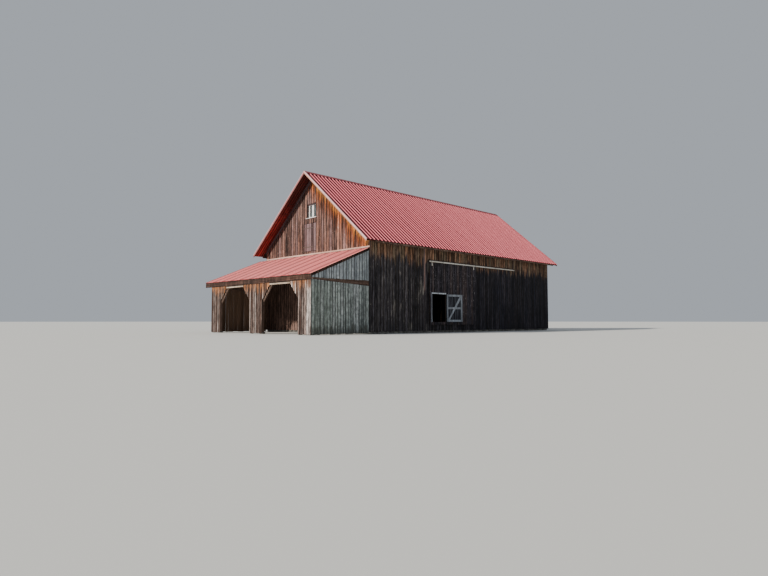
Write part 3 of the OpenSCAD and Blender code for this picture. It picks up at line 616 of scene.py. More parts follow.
def lean_front_shelter(coat, colour):
    """Under the lean-to's fascia the boards are orange brown, and the boards grow darker towards the left
    pier.
    """
    colour = shade_by(colour, coat.y, BARN_Y + 1, BARN_Y + 5, 1.2, 0.4)
    colour = shade_by(colour, coat.y, BARN_Y + 6, BARN_Y + 10, 1.0, 0.8)
    inner_pier = between(coat.y, BARN_Y + 1, BARN_Y + 4, 0.0, 0.25)
    colour = mix(inner_pier, colour, (0.15, 0.06, 0.032))
    height = minus(coat.z, coat.ragged((8, 8, 0.7), 0.0, 0.9))
    sheltered = between(height, 1.95, 2.5)
    warm = mix(coat.grain["Bands"], (0.08, 0.022, 0.01), (0.6, 0.24, 0.09))
    return tint(colour, sheltered, 0.8, warm)


def foot_damp(coat, colour):
    """Damp darkens the foot of the boards, and lichen mottles them, greener towards the lean-to's front."""
    mottle = clouds(coat.position, (8, 8, 5), (4, 4, 2), detail=5, rough=0.6)
    colour = shade_by(colour, mottle, 0.34, 0.66, 0.62, 1.3)
    green = between(coat.x, BARN_X - 1, BARN_X - LEAN_D, 0.0, 0.25)
    colour = mix(times(green, between(coat.z, 3.2, 2.4)), colour, (0.25, 0.32, 0.22))
    wet = between(minus(coat.z, coat.ragged((7, 7, 1.2), 0.0, 0.5)), 0.35, -0.05)
    colour = mix(between(coat.z, 2.95, 3.05, 0.0, 0.35), colour, (0.46, 0.5, 0.58))
    colour = tint(colour, coat.rain["Specks"], 0.7, (0.62, 0.66, 0.64))
    return tint(colour, wet, 0.7, (0.09, 0.09, 0.07))


def ridge_darkening(coat, colour):
    """Towards the ridge the red soffit grows darker, nearly black."""
    toward_ridge = between(plus(coat.z, coat.ragged((3, 3, 3), 0.0, 0.8)), 7.6, 9.4)
    return tint(colour, toward_ridge, 0.8, (0.05, 0.022, 0.018))


def door_scars(coat, colour):
    """Pale scratches and nail scars on the black door."""
    high = times(between(coat.z, 2.9, 3.3), between(coat.z, 4.25, 3.95))
    marks = clouds(coat.position, (7, 7, 16), (1, 6, 3), detail=3, rough=0.6, warp=1.5)
    scars = times(between(marks, 0.62, 0.67), high)
    colour = tint(colour, scars, 0.7, (0.42, 0.4, 0.41))
    return tint(colour, coat.rain["Specks"], 0.7, (0.4, 0.38, 0.39))


INDOOR_BROWN = (0.2, 0.125, 0.085)
gable_wood = timber(
    "gable_wood", (0.02, 0.007, 0.005), (0.3, 0.15, 0.11), odd=(0.2, 0.12, 0.115), streak=(0.4, 0.25, 0.22),
    stain=gable_shelter_sun_and_shade, inner=INDOOR_BROWN, streaks=0.42, bands=0.45, edge=0.96, mottle=0.42,
)
hay_door_wood = timber(
    "hay_door_wood", (0.03, 0.015, 0.015), (0.16, 0.095, 0.095), odd=(0.25, 0.165, 0.17), bands=0.4,
    edge=0.8,
)
# Dark weathered wood, darkened partly as painted shade for the window casing's reveal
far_rake_wood = timber("far_rake_wood", (0.04, 0.028, 0.03), (0.15, 0.105, 0.11), edge=0.5)
eave_wood = timber(
    "eave_wood", (0.035, 0.016, 0.01), (0.42, 0.22, 0.13), odd=(0.24, 0.17, 0.11), streak=(0.42, 0.3, 0.22),
    stain=eave_tide, inner=INDOOR_BROWN, streaks=0.45, bands=0.5, edge=0.9, mottle=0.45,
)
door_wood = timber(
    "door_wood", (0.006, 0.005, 0.009), (0.06, 0.05, 0.062), odd=(0.085, 0.058, 0.055),
    streak=(0.11, 0.098, 0.11), stain=door_scars, inner=INDOOR_BROWN, bands=0.45, mottle=0.5,
)
leaf_wood = timber(
    "leaf_wood", (0.02, 0.02, 0.03), (0.13, 0.135, 0.16), streak=(0.2, 0.21, 0.24), bands=0.45,
)
frame_wood = timber("frame_wood", (0.05, 0.03, 0.02), (0.17, 0.11, 0.07), relief=0.004, edge=0.3)
lean_frame_wood = timber("lean_frame_wood", (0.1, 0.06, 0.045), (0.36, 0.24, 0.19), relief=0.004, edge=0.3)
plank_wood = timber("plank_wood", (0.09, 0.065, 0.048), (0.26, 0.2, 0.15))
deck_wood = timber("deck_wood", (0.07, 0.04, 0.025), (0.24, 0.15, 0.095), odd=(0.28, 0.2, 0.13))
edge_wood = timber("edge_wood", (0.06, 0.03, 0.02), (0.24, 0.13, 0.085), streak=(0.32, 0.24, 0.2), edge=0.5)
lean_edge_wood = timber(
    "lean_edge_wood", (0.008, 0.004, 0.003), (0.07, 0.03, 0.019), streak=(0.36, 0.22, 0.175), edge=0.6,
    streaks=0.22, bands=0.6,
)
soffit_wood = timber(
    "soffit_wood", (0.08, 0.011, 0.01), (0.38, 0.06, 0.052), odd=(0.3, 0.11, 0.07), streak=(0.26, 0.1, 0.08),
    relief=0.001, edge=0.95, bands=0.45, streaks=0.3, stain=ridge_darkening,
)
trim_wood = timber(
    "trim_wood", (0.08, 0.045, 0.032), (0.32, 0.2, 0.15), streak=(0.36, 0.27, 0.23), stain=trim_sun_and_shadow,
    edge=0.4,
)
near_trim_wood = timber(
    "near_trim_wood", (0.09, 0.055, 0.048), (0.3, 0.19, 0.165), streak=(0.34, 0.23, 0.21), stain=trim_tide,
    edge=0.4,
)
track_board_wood = timber("track_board_wood", (0.03, 0.02, 0.016), (0.1, 0.07, 0.055), edge=0.4)
rail_wood = timber("rail_wood", (0.03, 0.023, 0.02), (0.09, 0.07, 0.06), edge=0.3)
pale_wood = timber(
    "pale_wood", (0.34, 0.37, 0.42), (0.78, 0.83, 0.9), odd=(0.6, 0.66, 0.74), streak=(0.26, 0.27, 0.29),
    edge=0.3,
)
lean_side_wood = timber(
    "lean_side_wood", (0.2, 0.225, 0.22), (0.46, 0.51, 0.49), odd=(0.5, 0.53, 0.53),
    streak=(0.16, 0.175, 0.17), stain=foot_damp, inner=INDOOR_BROWN, bands=0.4, edge=0.9,
)
lean_front_wood = timber(
    "lean_front_wood", (0.04, 0.02, 0.014), (0.88, 0.78, 0.74), odd=(0.09, 0.045, 0.032),
    streak=(0.06, 0.028, 0.02), stain=lean_front_shelter, inner=INDOOR_BROWN, bands=0.55, edge=0.98,
    mottle=0.5,
)
cream_wood = timber(
    "cream_wood", (0.36, 0.27, 0.2), (0.68, 0.56, 0.45), streak=(0.25, 0.16, 0.11), edge=0.3, bands=0.3,
)
white_wood = timber(
    "white_wood", (0.82, 0.82, 0.8), (0.93, 0.93, 0.91), relief=0.0008, rough=0.55, bands=0.08, edge=0.1,
)


# Metal, stone and glass finishes


def painted_sheet(name, base, faded, dirt, run, ribs=None, rough=0.45, shine=0.3, shade=0.8, painted_highlight=0.5,
                  lap=0.1, highlight_colour=None, stain=None):
    """Painted sheet with faded patches, run-off dirt and rust; on ribs, painted shadow, highlight and lap
    shade.

    ribs gives the axis across the ribs, where a rib is, their spacing and how far dirt and painted shadow
    reach past a rib; shade, chalk and lap say how strong that dirt and shadow, the painted highlight and the
    painted shade at the laps are. bleached is the colour of the pale rib tops and of the painted highlight.
    """
    material, tree, surface = new_material(name)
    position = object_position(tree)
    rib, number = None, 0.0
    if ribs:
        axis, start, pitch, reach = ribs
        place = split(position)[axis]
        rib = use_group(rib_group, Place=place, Start=start, Pitch=pitch, Reach=reach)
        number = rib["Number"]
    wear = use_group(metal_group, Position=position, Sheet=number, Run=run)
    colour = mix(times(wear["Fade"], 0.55), base, faded)
    colour = tint(colour, wear["Tone"], 0.3, faded)
    colour = tint(colour, wear["Dirt"], 0.35, dirt)
    if rib:
        # Across the ribs: dirt and painted shadow in their lee, a painted highlight on tops and faces,
        # painted shade at laps
        uneven = between(wear["Dirt"], 0.0, 1.0, 0.75 * shade, shade)
        colour = tint(colour, rib["Dirt"], uneven, scaled(dirt, 0.5))
        colour = tint(colour, rib["Chalk"], painted_highlight, highlight_colour)
        colour = tint(colour, rib["Top"], painted_highlight, highlight_colour)
        colour = shade_by(colour, rib["Lap"], 0.0, 1.0, 1.0, 1.0 - lap)
    if stain:
        colour = stain(split(position), colour)
    colour = tint(colour, wear["Rust"], 0.5, (0.16, 0.06, 0.03))
    dull = between(wear["Dirt"], 0.0, 1.0, rough, rough + 0.25)
    fill(surface, Base_Color=colour, Roughness=dull, Specular_IOR_Level=shine)
    bump(surface, wear["Height"], 0.002, 0.3)
    return material


# How fine dirt and fading are along X, Y and Z, so that both run down a slope
DOWN_MAIN = (1, 0.06, 0.06)
DOWN_LEAN = (0.06, 1, 0.06)
ANY_WAY = (1, 0.4, 0.4)

# The axis across the ribs, the first rib's place, the spacing, and how far dirt and painted shadow go from a
# rib
MAIN_RIBS = ("X", BARN_X - NEAR_OVER + RIB_MARGIN, RIB_STEP, 0.255)
LEAN_RIBS = ("Y", BARN_Y + BARN_W + LEAN_LEFT - RIB_MARGIN, LEAN_RIB_STEP, 0.3)


def rake_edges(place, colour):
    """Outer front-slope faces keep a pale painted highlight, with an orange-brown foot; the rest is red."""
    middle = BARN_X + (BARN_L + FAR_OVER - NEAR_OVER) / 2
    half = (BARN_L + FAR_OVER + NEAR_OVER) / 2
    away = calc("ABSOLUTE", minus(place["X"], middle))
    red = (0.2, 0.028, 0.03)
    colour = tint(colour, between(away, half - 0.02, half - 0.04), 0.9, red)
    below = below_roof(place["Y"], place["Z"], back=True)
    back = between(place["Y"], BARN_Y + BARN_W / 2, BARN_Y + BARN_W / 2 + 0.05)
    face = times(back, between(below, -0.02, 0.01))
    colour = tint(colour, face, 0.85, red)
    foot = between(below_roof(place["Y"], place["Z"]), 0.02, 0.09)
    foot = times(foot, minus(1.0, back))
    return tint(colour, foot, 0.75, (0.36, 0.15, 0.07))


# The dirt colour, halved, is also the painted shadow in the ribs' lee; bleached is the painted highlight
# colour
roof_paint = painted_sheet(
    "roof_paint", (0.5, 0.07, 0.09), (0.66, 0.16, 0.19), (0.13, 0.01, 0.024), DOWN_MAIN, MAIN_RIBS,
    rough=0.65, shine=0.05, shade=0.97, painted_highlight=0.95, lap=0.1, highlight_colour=(0.98, 0.27, 0.31),
)
lean_paint = painted_sheet(
    "lean_paint", (0.9, 0.2, 0.195), (0.98, 0.31, 0.3), (0.5, 0.08, 0.08), DOWN_LEAN, LEAN_RIBS,
    rough=0.6, shine=0.1, shade=0.35, painted_highlight=0.85, lap=0.45, highlight_colour=(1.0, 0.42, 0.41),
)
cap_paint = painted_sheet("cap_paint", (0.3, 0.045, 0.05), (0.42, 0.08, 0.085), (0.16, 0.03, 0.03), ANY_WAY)
# The pale base and faded colours are a painted sun highlight on the red trim
rake_paint_and_highlight = painted_sheet(
    "rake_paint_and_highlight", (0.62, 0.36, 0.38), (0.8, 0.58, 0.6), (0.36, 0.15, 0.11), ANY_WAY, stain=rake_edges,
)
flashing_paint = painted_sheet(
    "flashing_paint", (0.45, 0.25, 0.19), (0.72, 0.53, 0.46), (0.2, 0.09, 0.06), ANY_WAY,
)


def bare_metal(name, base, worn, rough, metallic):
    material, tree, surface = new_material(name)
    wear = use_group(metal_group, Position=object_position(tree), Sheet=0.0, Run=(1, 1, 1))
    colour = mix(wear["Fade"], base, worn)
    colour = tint(colour, wear["Rust"], 0.7, (0.14, 0.06, 0.03))
    dull = between(wear["Dirt"], 0.0, 1.0, rough, rough + 0.2)
    fill(surface, Base_Color=colour, Roughness=dull, Metallic=metallic)
    bump(surface, wear["Height"], 0.0008, 0.4)
    return material


track_metal = bare_metal("track_metal", (0.8, 0.76, 0.7), (0.62, 0.57, 0.5), 0.5, 0.1)
iron = bare_metal("iron", (0.05, 0.04, 0.036), (0.09, 0.058, 0.043), 0.75, 0.2)


def make_stone():
    material, tree, surface = new_material("field_stone")
    position = object_position(tree)
    rock = clouds(position, (9, 9, 9), detail=8, rough=0.65)
    lichen = between(clouds(position, (4, 4, 4), (3, 1, 8), detail=6), 0.58, 0.66)
    tone = attribute(tree, "tone", "Fac")
    base = ramp(tone, (0.0, (0.1, 0.095, 0.09)), (0.5, (0.16, 0.152, 0.14)), (1.0, (0.24, 0.228, 0.21)))
    colour = shade_by(base, rock, 0.3, 0.75, 0.6, 1.25)
    colour = tint(colour, lichen, 0.5, (0.33, 0.35, 0.27))
    fill(surface, Base_Color=colour, Roughness=between(rock, 0.3, 0.7, 0.95, 0.8))
    bump(surface, rock, 0.02, 0.7)
    return material


def make_glass():
    material, tree, surface = new_material("window_pane")
    dust = clouds(object_position(tree), (7, 7, 7), detail=5)
    grey = ramp(dust, (0.35, (0.05, 0.06, 0.065)), (0.7, (0.12, 0.14, 0.14)))
    polish = between(dust, 0.4, 0.7, 0.05, 0.3)
    fill(surface, Base_Color=grey, Roughness=polish, Transmission_Weight=0.2, IOR=1.5)
    return material


field_stone = make_stone()
window_pane = make_glass()


# Boards and timbers

nails = {"barn": [], "sliding_door": [], "wicket": []}


def add_layers(bm):
    """Room at each point for its board's tone and grain direction, and its place in the board."""
    for label in ("tone", "across", "inner"):
        bm.verts.layers.float.new(label)
    bm.verts.layers.float_vector.new("run")


def new_piece():
    bm = bmesh.new()
    add_layers(bm)
    return bm


def cross_axes(run):
    """The two directions square to a board's length."""
    level = run.cross(UP) if abs(run.z) < 0.9 else run.cross(ALONG)
    level.normalize()
    return level, run.cross(level)


def mark(bm, verts, run, tone=None, face=None):
    """Gives one board its grain direction and tone, and says where its edges and its inner side are."""
    tone = rng.random() if tone is None else tone
    layers = bm.verts.layers
    tones, sides, inners = (layers.float[label] for label in ("tone", "across", "inner"))
    runs = layers.float_vector["run"]
    spans = []
    for axis in cross_axes(run):
        places = [vert.co.dot(axis) for vert in verts]
        spans.append((max(places) - min(places), (max(places) + min(places)) / 2, axis))
    width, middle, axis = max(spans, key=lambda span: span[0])
    depths = [vert.co.dot(face) for vert in verts] if face else [0]
    skin = (max(depths) + min(depths)) / 2
    for vert in verts:
        vert[tones] = tone
        vert[runs] = run
        vert[sides] = (vert.co.dot(axis) - middle) / max(width / 2, 0.001)
        vert[inners] = 1.0 if face and vert.co.dot(face) < skin else 0.0


def fit(bm, verts, low, high):
    """Stretches a shape of unit size round the origin to fill a box."""
    low, high = Vector(low), Vector(high)
    bmesh.ops.scale(bm, vec=high - low, verts=verts)
    bmesh.ops.translate(bm, vec=(low + high) / 2, verts=verts)


def add_bar(bm, low, high):
    """A plain block, given by its opposite corners."""
    made = bmesh.ops.create_cube(bm, size=1)["verts"]
    fit(bm, made, low, high)
    return made


def add_board(bm, low, high, run, tone=None, face=None):
    made = add_bar(bm, low, high)
    mark(bm, made, run, tone, face)
    return made


def cut_off(bm, point, normal):
    """Saws everything beyond a plane off and closes the cut ends."""
    everything = bm.verts[:] + bm.edges[:] + bm.faces[:]
    bmesh.ops.bisect_plane(bm, geom=everything, plane_co=point, plane_no=normal, clear_outer=True)
    bmesh.ops.holes_fill(bm, edges=[e for e in bm.edges if e.is_boundary], sides=0)


def weather(bm, cuts, sway):
    """Divides each board along its length and lets its edges wander a little."""
    runs, tones = bm.verts.layers.float_vector["run"], bm.verts.layers.float["tone"]
    long_edges = []
    for edge in bm.edges:
        span = edge.verts[1].co - edge.verts[0].co
        if span.length > 0.5 and abs(span.normalized().dot(edge.verts[0][runs])) > 0.98:
            long_edges.append(edge)
    if cuts:
        bmesh.ops.subdivide_edges(bm, edges=long_edges, cuts=cuts, use_grid_fill=True)
    if not sway:
        return
    for vert in bm.verts:
        drift = noise.noise_vector(vert.co * 0.9 + Vector((vert[tones] * 90, 3, 7))) * sway
        vert.co += drift - vert[runs] * drift.dot(vert[runs])


def soften(bm, width, angle=30, segments=1):
    sharp = [e for e in bm.edges if e.is_manifold and e.calc_face_angle(0) > math.radians(angle)]
    bmesh.ops.bevel(
        bm, geom=sharp, offset=width, offset_type="OFFSET", segments=segments, profile=0.5,
        affect="EDGES", clamp_overlap=True, material=-1,
    )


def lay_grain(bm):
    """Writes each point's place along and across its board, which the wood's grain follows."""
    tones, runs = bm.verts.layers.float["tone"], bm.verts.layers.float_vector["run"]
    grain = bm.verts.layers.float_vector.new("grain")
    for vert in bm.verts:
        run = Vector(vert[runs])
        level, depth = cross_axes(run)
        co, tone = vert.co, vert[tones]
        vert[grain] = (co.dot(run) + tone * 31, co.dot(level) + tone * 17, co.dot(depth) + tone * 53)
    bm.verts.layers.float_vector.remove(bm.verts.layers.float_vector["run"])


def finish(bm, name, material, replaces=(), body="barn", in_barn=True, smooth=False):
    """Turns a bmesh into a piece on a body; in_barn says that it is drawn from the barn's corner."""
    if "run" in bm.verts.layers.float_vector:
        lay_grain(bm)
    if in_barn:
        bmesh.ops.translate(bm, vec=(BARN_X, BARN_Y, 0), verts=bm.verts)
    bmesh.ops.recalc_face_normals(bm, faces=bm.faces)
    mesh = bpy.data.meshes.new(name)
    bm.to_mesh(mesh)
    bm.free()
    for polygon in mesh.polygons:
        polygon.use_smooth = smooth
    mesh.materials.append(material)
    piece = bpy.data.objects.new(name, mesh)
    scene.collection.objects.link(piece)
    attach(piece, body)
    if replaces:
        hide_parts(*replaces)
    return piece


def open_wicket(bm):
    """Turns the leaf from its doorway to where it stands open at rest."""
    turn = Matrix.Rotation(WICKET_OPEN, 3, "Z")
    bmesh.ops.rotate(bm, cent=WICKET_HINGE, matrix=turn, verts=bm.verts)


def finish_boards(bm, cuts, sway, name, material, node, body="barn"):
    """Weathers a piece's boards, eases their edges and finishes it in the place of a frame node."""
    weather(bm, cuts, sway)
    soften(bm, 0.003)
    if body == "wicket":
        open_wicket(bm)
    finish(bm, name, material, [node], body=body)


def add_bolt(bm, at, out, radius, height=0.006, segments=8):
    """A domed bolt or nail head that stands on a face and points out of it."""
    turn = out.to_track_quat("Z", "Y").to_matrix().to_4x4()
    bmesh.ops.create_cone(
        bm, cap_ends=True, segments=segments, radius1=radius, radius2=radius * 0.55, depth=height,
        matrix=Matrix.Translation(Vector(at) + out * height / 2) @ turn,
    )


def board_spans(start, stop, width=BOARD_W, gap=0.009, breaks=()):
    """Splits a run of wall into boards of uneven width, parted at the breaks too."""
    spans = []
    marks = sorted({start, stop, *[b for b in breaks if start < b < stop]})
    for left, right in zip(marks, marks[1:]):
        count = max(1, round((right - left) / width))
        shares = [rng.uniform(0.7, 1.35) for _ in range(count)]
        scale = (right - left) / sum(shares)
        at = left
        for share in shares:
            inset = gap * rng.uniform(0.3, 0.8)
            spans.append((at + inset, at + share * scale - gap * rng.uniform(0.3, 0.8)))
            at += share * scale
    return spans


def wall_board(bm, side, span, foot, top, face, back, tone=None, body="barn", nail_rows=GIRTS):
    """An upright board; side is the wall's level axis and face is where its outer face lies."""
    outward = math.copysign(1, face - back)
    face -= outward * rng.uniform(0, 0.004)
    foot += rng.uniform(0, 0.03)
    out = outward * (ACROSS if side == "x" else ALONG)
    near, far = sorted((face, back))
    for z in nail_rows:
        if not foot + 0.05 < z < top - 0.05:
            continue
        for place in (span[0] + 0.045, span[1] - 0.045):
            drift = rng.uniform(-0.025, 0.025)
            at = (place, face, z + drift) if side == "x" else (face, place, z + drift)
            nails[body].append((at, out))
    if side == "x":
        return add_board(bm, (span[0], near, foot), (span[1], far, top), UP, tone, out)
    return add_board(bm, (near, span[0], foot), (far, span[1], top), UP, tone, out)


def eave_wall(node, start, stop, face, back):
    """A length of eave wall with boards from foot to eave."""
    bm = new_piece()
    for span in board_spans(start, stop):
        wall_board(bm, "x", span, WALL_FOOT, WALL_TOP, face, back, nail_rows=EAVE_NAILS)
    finish_boards(bm, 5, 0.003, node + "_boards", eave_wood, node)


def eave_walls():
    """The front wall in three parts, round the doorway, and the back wall."""
    node = "front_wall_over_door"
    eave_wall("front_wall_left", BOARD, DOORWAY[0], 0, BOARD)
    eave_wall("front_wall_right", DOORWAY[1], BARN_L - BOARD, 0, BOARD)
    bm = new_piece()
    for span in board_spans(*DOORWAY):
        wall_board(bm, "x", span, OVER_DOOR, WALL_TOP, 0, BOARD, nail_rows=(4.48, 5.5))
        wall_board(bm, "x", span, WALL_FOOT, FLOOR_TOP - 0.002, 0, BOARD)
    finish_boards(bm, 2, 0.002, node + "_boards", eave_wood, node)
    eave_wall("back_wall", BOARD, BARN_L - BOARD, BARN_W, BARN_W - BOARD)


def trim_to_roof(bm):
    """Cuts gable boards off under the roof boards of both slopes."""
    slope = Vector((0, math.sin(PITCH), math.cos(PITCH)))
    cut_off(bm, (0, 0, roof_z(0, -DECK - 0.002)), Vector((0, -slope.y, slope.z)))
    cut_off(bm, (0, BARN_W, roof_z(0, -DECK - 0.002)), slope)


def gable_rows(middle):
    """Heights of the nails in a gable board, up to where the roof cuts it."""
    top = roof_z(min(middle, BARN_W - middle)) - 0.25
    return (*[z for z in (*GIRTS, 4.85, 6.1, 7.25, 8.4) if z < top], top)


def gable_walls():
    """Both gables; the boards of the near one stop at the hay door and at the window."""
    joint = 0.003
    bm = new_piece()
    for span in board_spans(0, BARN_W, breaks=(*GABLE_HOLE, WINDOW_Y[1])):
        middle = sum(span) / 2
        rows = gable_rows(middle)
        if not GABLE_HOLE[0] < middle < GABLE_HOLE[1]:
            wall_board(bm, "y", span, WALL_FOOT, GABLE_TOP, 0, BOARD, nail_rows=rows)
            continue
        wall_board(bm, "y", span, WALL_FOOT, HAY_Z[0], 0, BOARD, nail_rows=rows)
        wall_board(bm, "y", span, HAY_Z[1], WINDOW_Z[0] - joint, 0, BOARD, nail_rows=rows)
        if middle > WINDOW_Y[1]:
            wall_board(bm, "y", span, WINDOW_Z[0], GABLE_TOP, 0, BOARD, nail_rows=rows)
        else:
            wall_board(bm, "y", span, WINDOW_Z[1] + joint, GABLE_TOP, 0, BOARD, tone=0.95, nail_rows=rows)
    trim_to_roof(bm)
    finish_boards(bm, 6, 0.003, "near_gable_boards", gable_wood, "near_gable_wall")
    bm = new_piece()
    for span in board_spans(0, BARN_W):
        rows = gable_rows(sum(span) / 2)
        wall_board(bm, "y", span, WALL_FOOT, GABLE_TOP, BARN_L, BARN_L - BOARD, nail_rows=rows)
    trim_to_roof(bm)
    finish_boards(bm, 6, 0.003, "far_gable_boards", gable_wood, "far_gable_wall")


def hay_door():
    """The hay door's boards, shut, and its two long straps with their bolts."""
    joint, face = 0.005, 0.001
    strap_t, strap_w, strap_end = 0.006, 0.045, 0.3
    strap_y = (5.2, 6.34)
    bm = new_piece()
    for span in board_spans(GABLE_HOLE[0] + joint, GABLE_HOLE[1] - joint):
        foot, top = HAY_Z[0] + joint, HAY_Z[1] - joint
        wall_board(bm, "y", span, foot, top, face, BOARD, nail_rows=(5.4, 6.17, 6.95))
    finish_boards(bm, 3, 0.002, "hay_door_boards", hay_door_wood, "hay_door")
    bm = bmesh.new()
    for z in (HAY_Z[0] + strap_end, HAY_Z[1] - strap_end):
        add_bar(bm, (-strap_t, strap_y[0], z - strap_w / 2), (0, strap_y[1], z + strap_w / 2))
        for y in (5.24, 5.5, 5.8, 6.05, 6.2, 6.3):
            add_bolt(bm, (-strap_t, y, z), -ALONG, 0.01)
    soften(bm, 0.001)
    finish(bm, "hay_door_straps", iron)


def gable_window():
    """Casing boards round the opening, dark partly as painted shade, a white sash set deep in them, a pale
    sill.
    """
    lip, side_w, middle_w, rail_h = 0.03, 0.115, 0.17, 0.0575
    nose, slant = 0.06, 0.008
    low_y, high_y = WINDOW_Y
    low_z, high_z = WINDOW_Z
    bm = new_piece()
    add_board(bm, (0, low_y, low_z), (WINDOW_RECESS, low_y + lip, high_z), UP)
    add_board(bm, (0, high_y - lip, low_z), (WINDOW_RECESS, high_y, high_z), UP)
    add_board(bm, (0, low_y + lip, high_z - lip), (WINDOW_RECESS, high_y - lip, high_z), ACROSS)
    add_board(bm, (0, low_y + lip, low_z + 0.016), (WINDOW_RECESS, high_y - lip, low_z + lip), ACROSS)
    soften(bm, 0.002)
    finish(bm, "window_casing_boards", far_rake_wood, ["window_frame"])
    bm = new_piece()
    face, back = WINDOW_RECESS, WINDOW_RECESS + 0.04
    left, right = low_y + lip, high_y - lip
    edges = (left + side_w, (left + right - middle_w) / 2, (left + right + middle_w) / 2, right - side_w)
    for start, stop in ((left, edges[0]), (edges[1], edges[2]), (edges[3], right)):
        add_board(bm, (face, start, low_z + lip), (back, stop, high_z - lip), UP)
    for foot in (low_z + lip, high_z - lip - rail_h):
        for start, stop in (edges[:2], edges[2:]):
            add_board(bm, (face, start, foot), (back, stop, foot + rail_h), ACROSS)
    soften(bm, 0.002)
    finish(bm, "window_sash_bars", white_wood, ["window_frame"])
    bm = new_piece()
    sill = add_board(bm, (-nose, low_y - nose, low_z - 0.02), (0, high_y + nose, low_z + 0.015), ACROSS)
    for vert in sill:
        if vert.co.x < -nose / 2 and vert.co.z > low_z:
            vert.co.z -= slant
    soften(bm, 0.003, segments=2)
    finish(bm, "window_sill_board", white_wood, ["window_frame"])


def sliding_door():
    """The door's boards, parted round the wicket doorway, and the boards of the leaf in it."""
    foot, gap, play = DOOR_Z - 0.03, 0.001, 0.008
    rows = (0.58, 1.6, 2.57, 3.5, 4.43)
    bm = new_piece()
    for span in board_spans(DOOR_X, DOOR_X + DOOR_W, gap=0.006, breaks=WICKET_X):
        parts = [(foot, DOOR_TOP)]
        if WICKET_X[0] < sum(span) / 2 < WICKET_X[1]:
            parts = [(foot, WICKET_Z[0] - gap), (WICKET_Z[1] + gap, DOOR_TOP)]
        for low, high in parts:
            wall_board(bm, "x", span, low, high, DOOR_FACE, DOOR_BACK, body="sliding_door", nail_rows=rows)
    for vert in bm.verts:
        vert.co.z = max(vert.co.z, DOOR_Z)
    name, body = "sliding_door_boards", "sliding_door"
    finish_boards(bm, 4, 0.002, name, door_wood, "door_boards", body)
    bm = new_piece()
    rows = (0.76, 1.6, 2.43)
    for span in board_spans(WICKET_X[0] + play, WICKET_X[1] - play, 0.2, gap=0.004):
        low, high = WICKET_Z[0] + play, WICKET_Z[1] - play
        wall_board(bm, "x", span, low, high, DOOR_FACE, DOOR_BACK, body="wicket", nail_rows=rows)
    finish_boards(bm, 3, 0.0015, "wicket_door_boards", leaf_wood, "wicket_boards", "wicket")


def track_fixings():
    """Straps that hold the track to its board, and the bolts through the door's hangers."""
    gaps, strap_w, hanger = 8, 0.04, 0.23
    front, back, board, top = -0.109, -0.05, -0.045, 4.615
    bm = bmesh.new()
    for number in range(gaps + 1):
        left = DOOR_X + 0.13 + number * (2 * DOOR_W - 0.3) / gaps
        right = left + strap_w
        add_bar(bm, (left, front, top), (right, board, top + 0.005))
        add_bar(bm, (left, front, top - 0.05), (right, front + 0.004, top + 0.001))
        add_bar(bm, (left, back, top + 0.004), (right, board, top + 0.065))
        for z in (top + 0.025, top + 0.05):
            add_bolt(bm, (left + strap_w / 2, back, z), -ACROSS, 0.008, 0.005)
    finish(bm, "track_straps", iron)
    bm = bmesh.new()
    for x in (DOOR_X + hanger, DOOR_X + DOOR_W - hanger):
        for drop in (0.17, 0.11, 0.05):
            add_bolt(bm, (x, DOOR_FACE - 0.006, DOOR_TOP - drop), -ACROSS, 0.012, 0.008)
    finish(bm, "hanger_bolts", iron, body="sliding_door")


def lean_front():
    """Boards on the three piers, set apart and cut to the braces at the flares, and the headers between."""
    bm = new_piece()
    face, back = -LEAN_D, BOARD - LEAN_D
    pier_foot, header_h, joint = 0.02, 0.085, 0.003
    top = lean_z(-LEAN_D, -DECK)
    rows = (0.4, 1.3, 2.2, 2.9)
    piers = ((0, PIER_W, 0, 1), (*MIDDLE_PIER, 1, 1), (BARN_W - PIER_W, BARN_W, 1, 0))
    for left, right, flare_left, flare_right in piers:
        start, stop = left - FLARE_W * flare_left, right + FLARE_W * flare_right
        for span in board_spans(left, right, 0.2, gap=0.012):
            wall_board(bm, "y", span, pier_foot, top, face, back, nail_rows=rows)
        for span in board_spans(start, stop, 0.15, gap=0.035, breaks=(left, right)):
            if left < sum(span) / 2 < right:
                continue
            foot = BAY_H - FLARE_H
            board = wall_board(bm, "y", span, foot, top, face, back, nail_rows=rows[-1:])
            for vert in board:
                if vert.co.z < BAY_H:
                    away = max(left - vert.co.y, vert.co.y - right, 0)
                    vert.co.z = foot + away * FLARE_H / FLARE_W
    finish_boards(bm, 3, 0.003, "lean_pier_boards", lean_front_wood, "lean_front_boards")
    pale, brown = new_piece(), new_piece()
    header_z = BAY_H + header_h
    for (_, left, _, _), (right, _, _, _) in zip(piers, piers[1:]):
        start, stop = left + FLARE_W, right - FLARE_W
        add_board(pale, (face, start, BAY_H), (back, stop, header_z), ACROSS)
        add_board(brown, (face, start, header_z + joint), (back, stop, top), ACROSS)
    node = "lean_header_boards"
    finish_boards(pale, 3, 0.002, "lean_header_strips", cream_wood, node)
    finish_boards(brown, 3, 0.002, "lean_header_tops", lean_edge_wood, node)


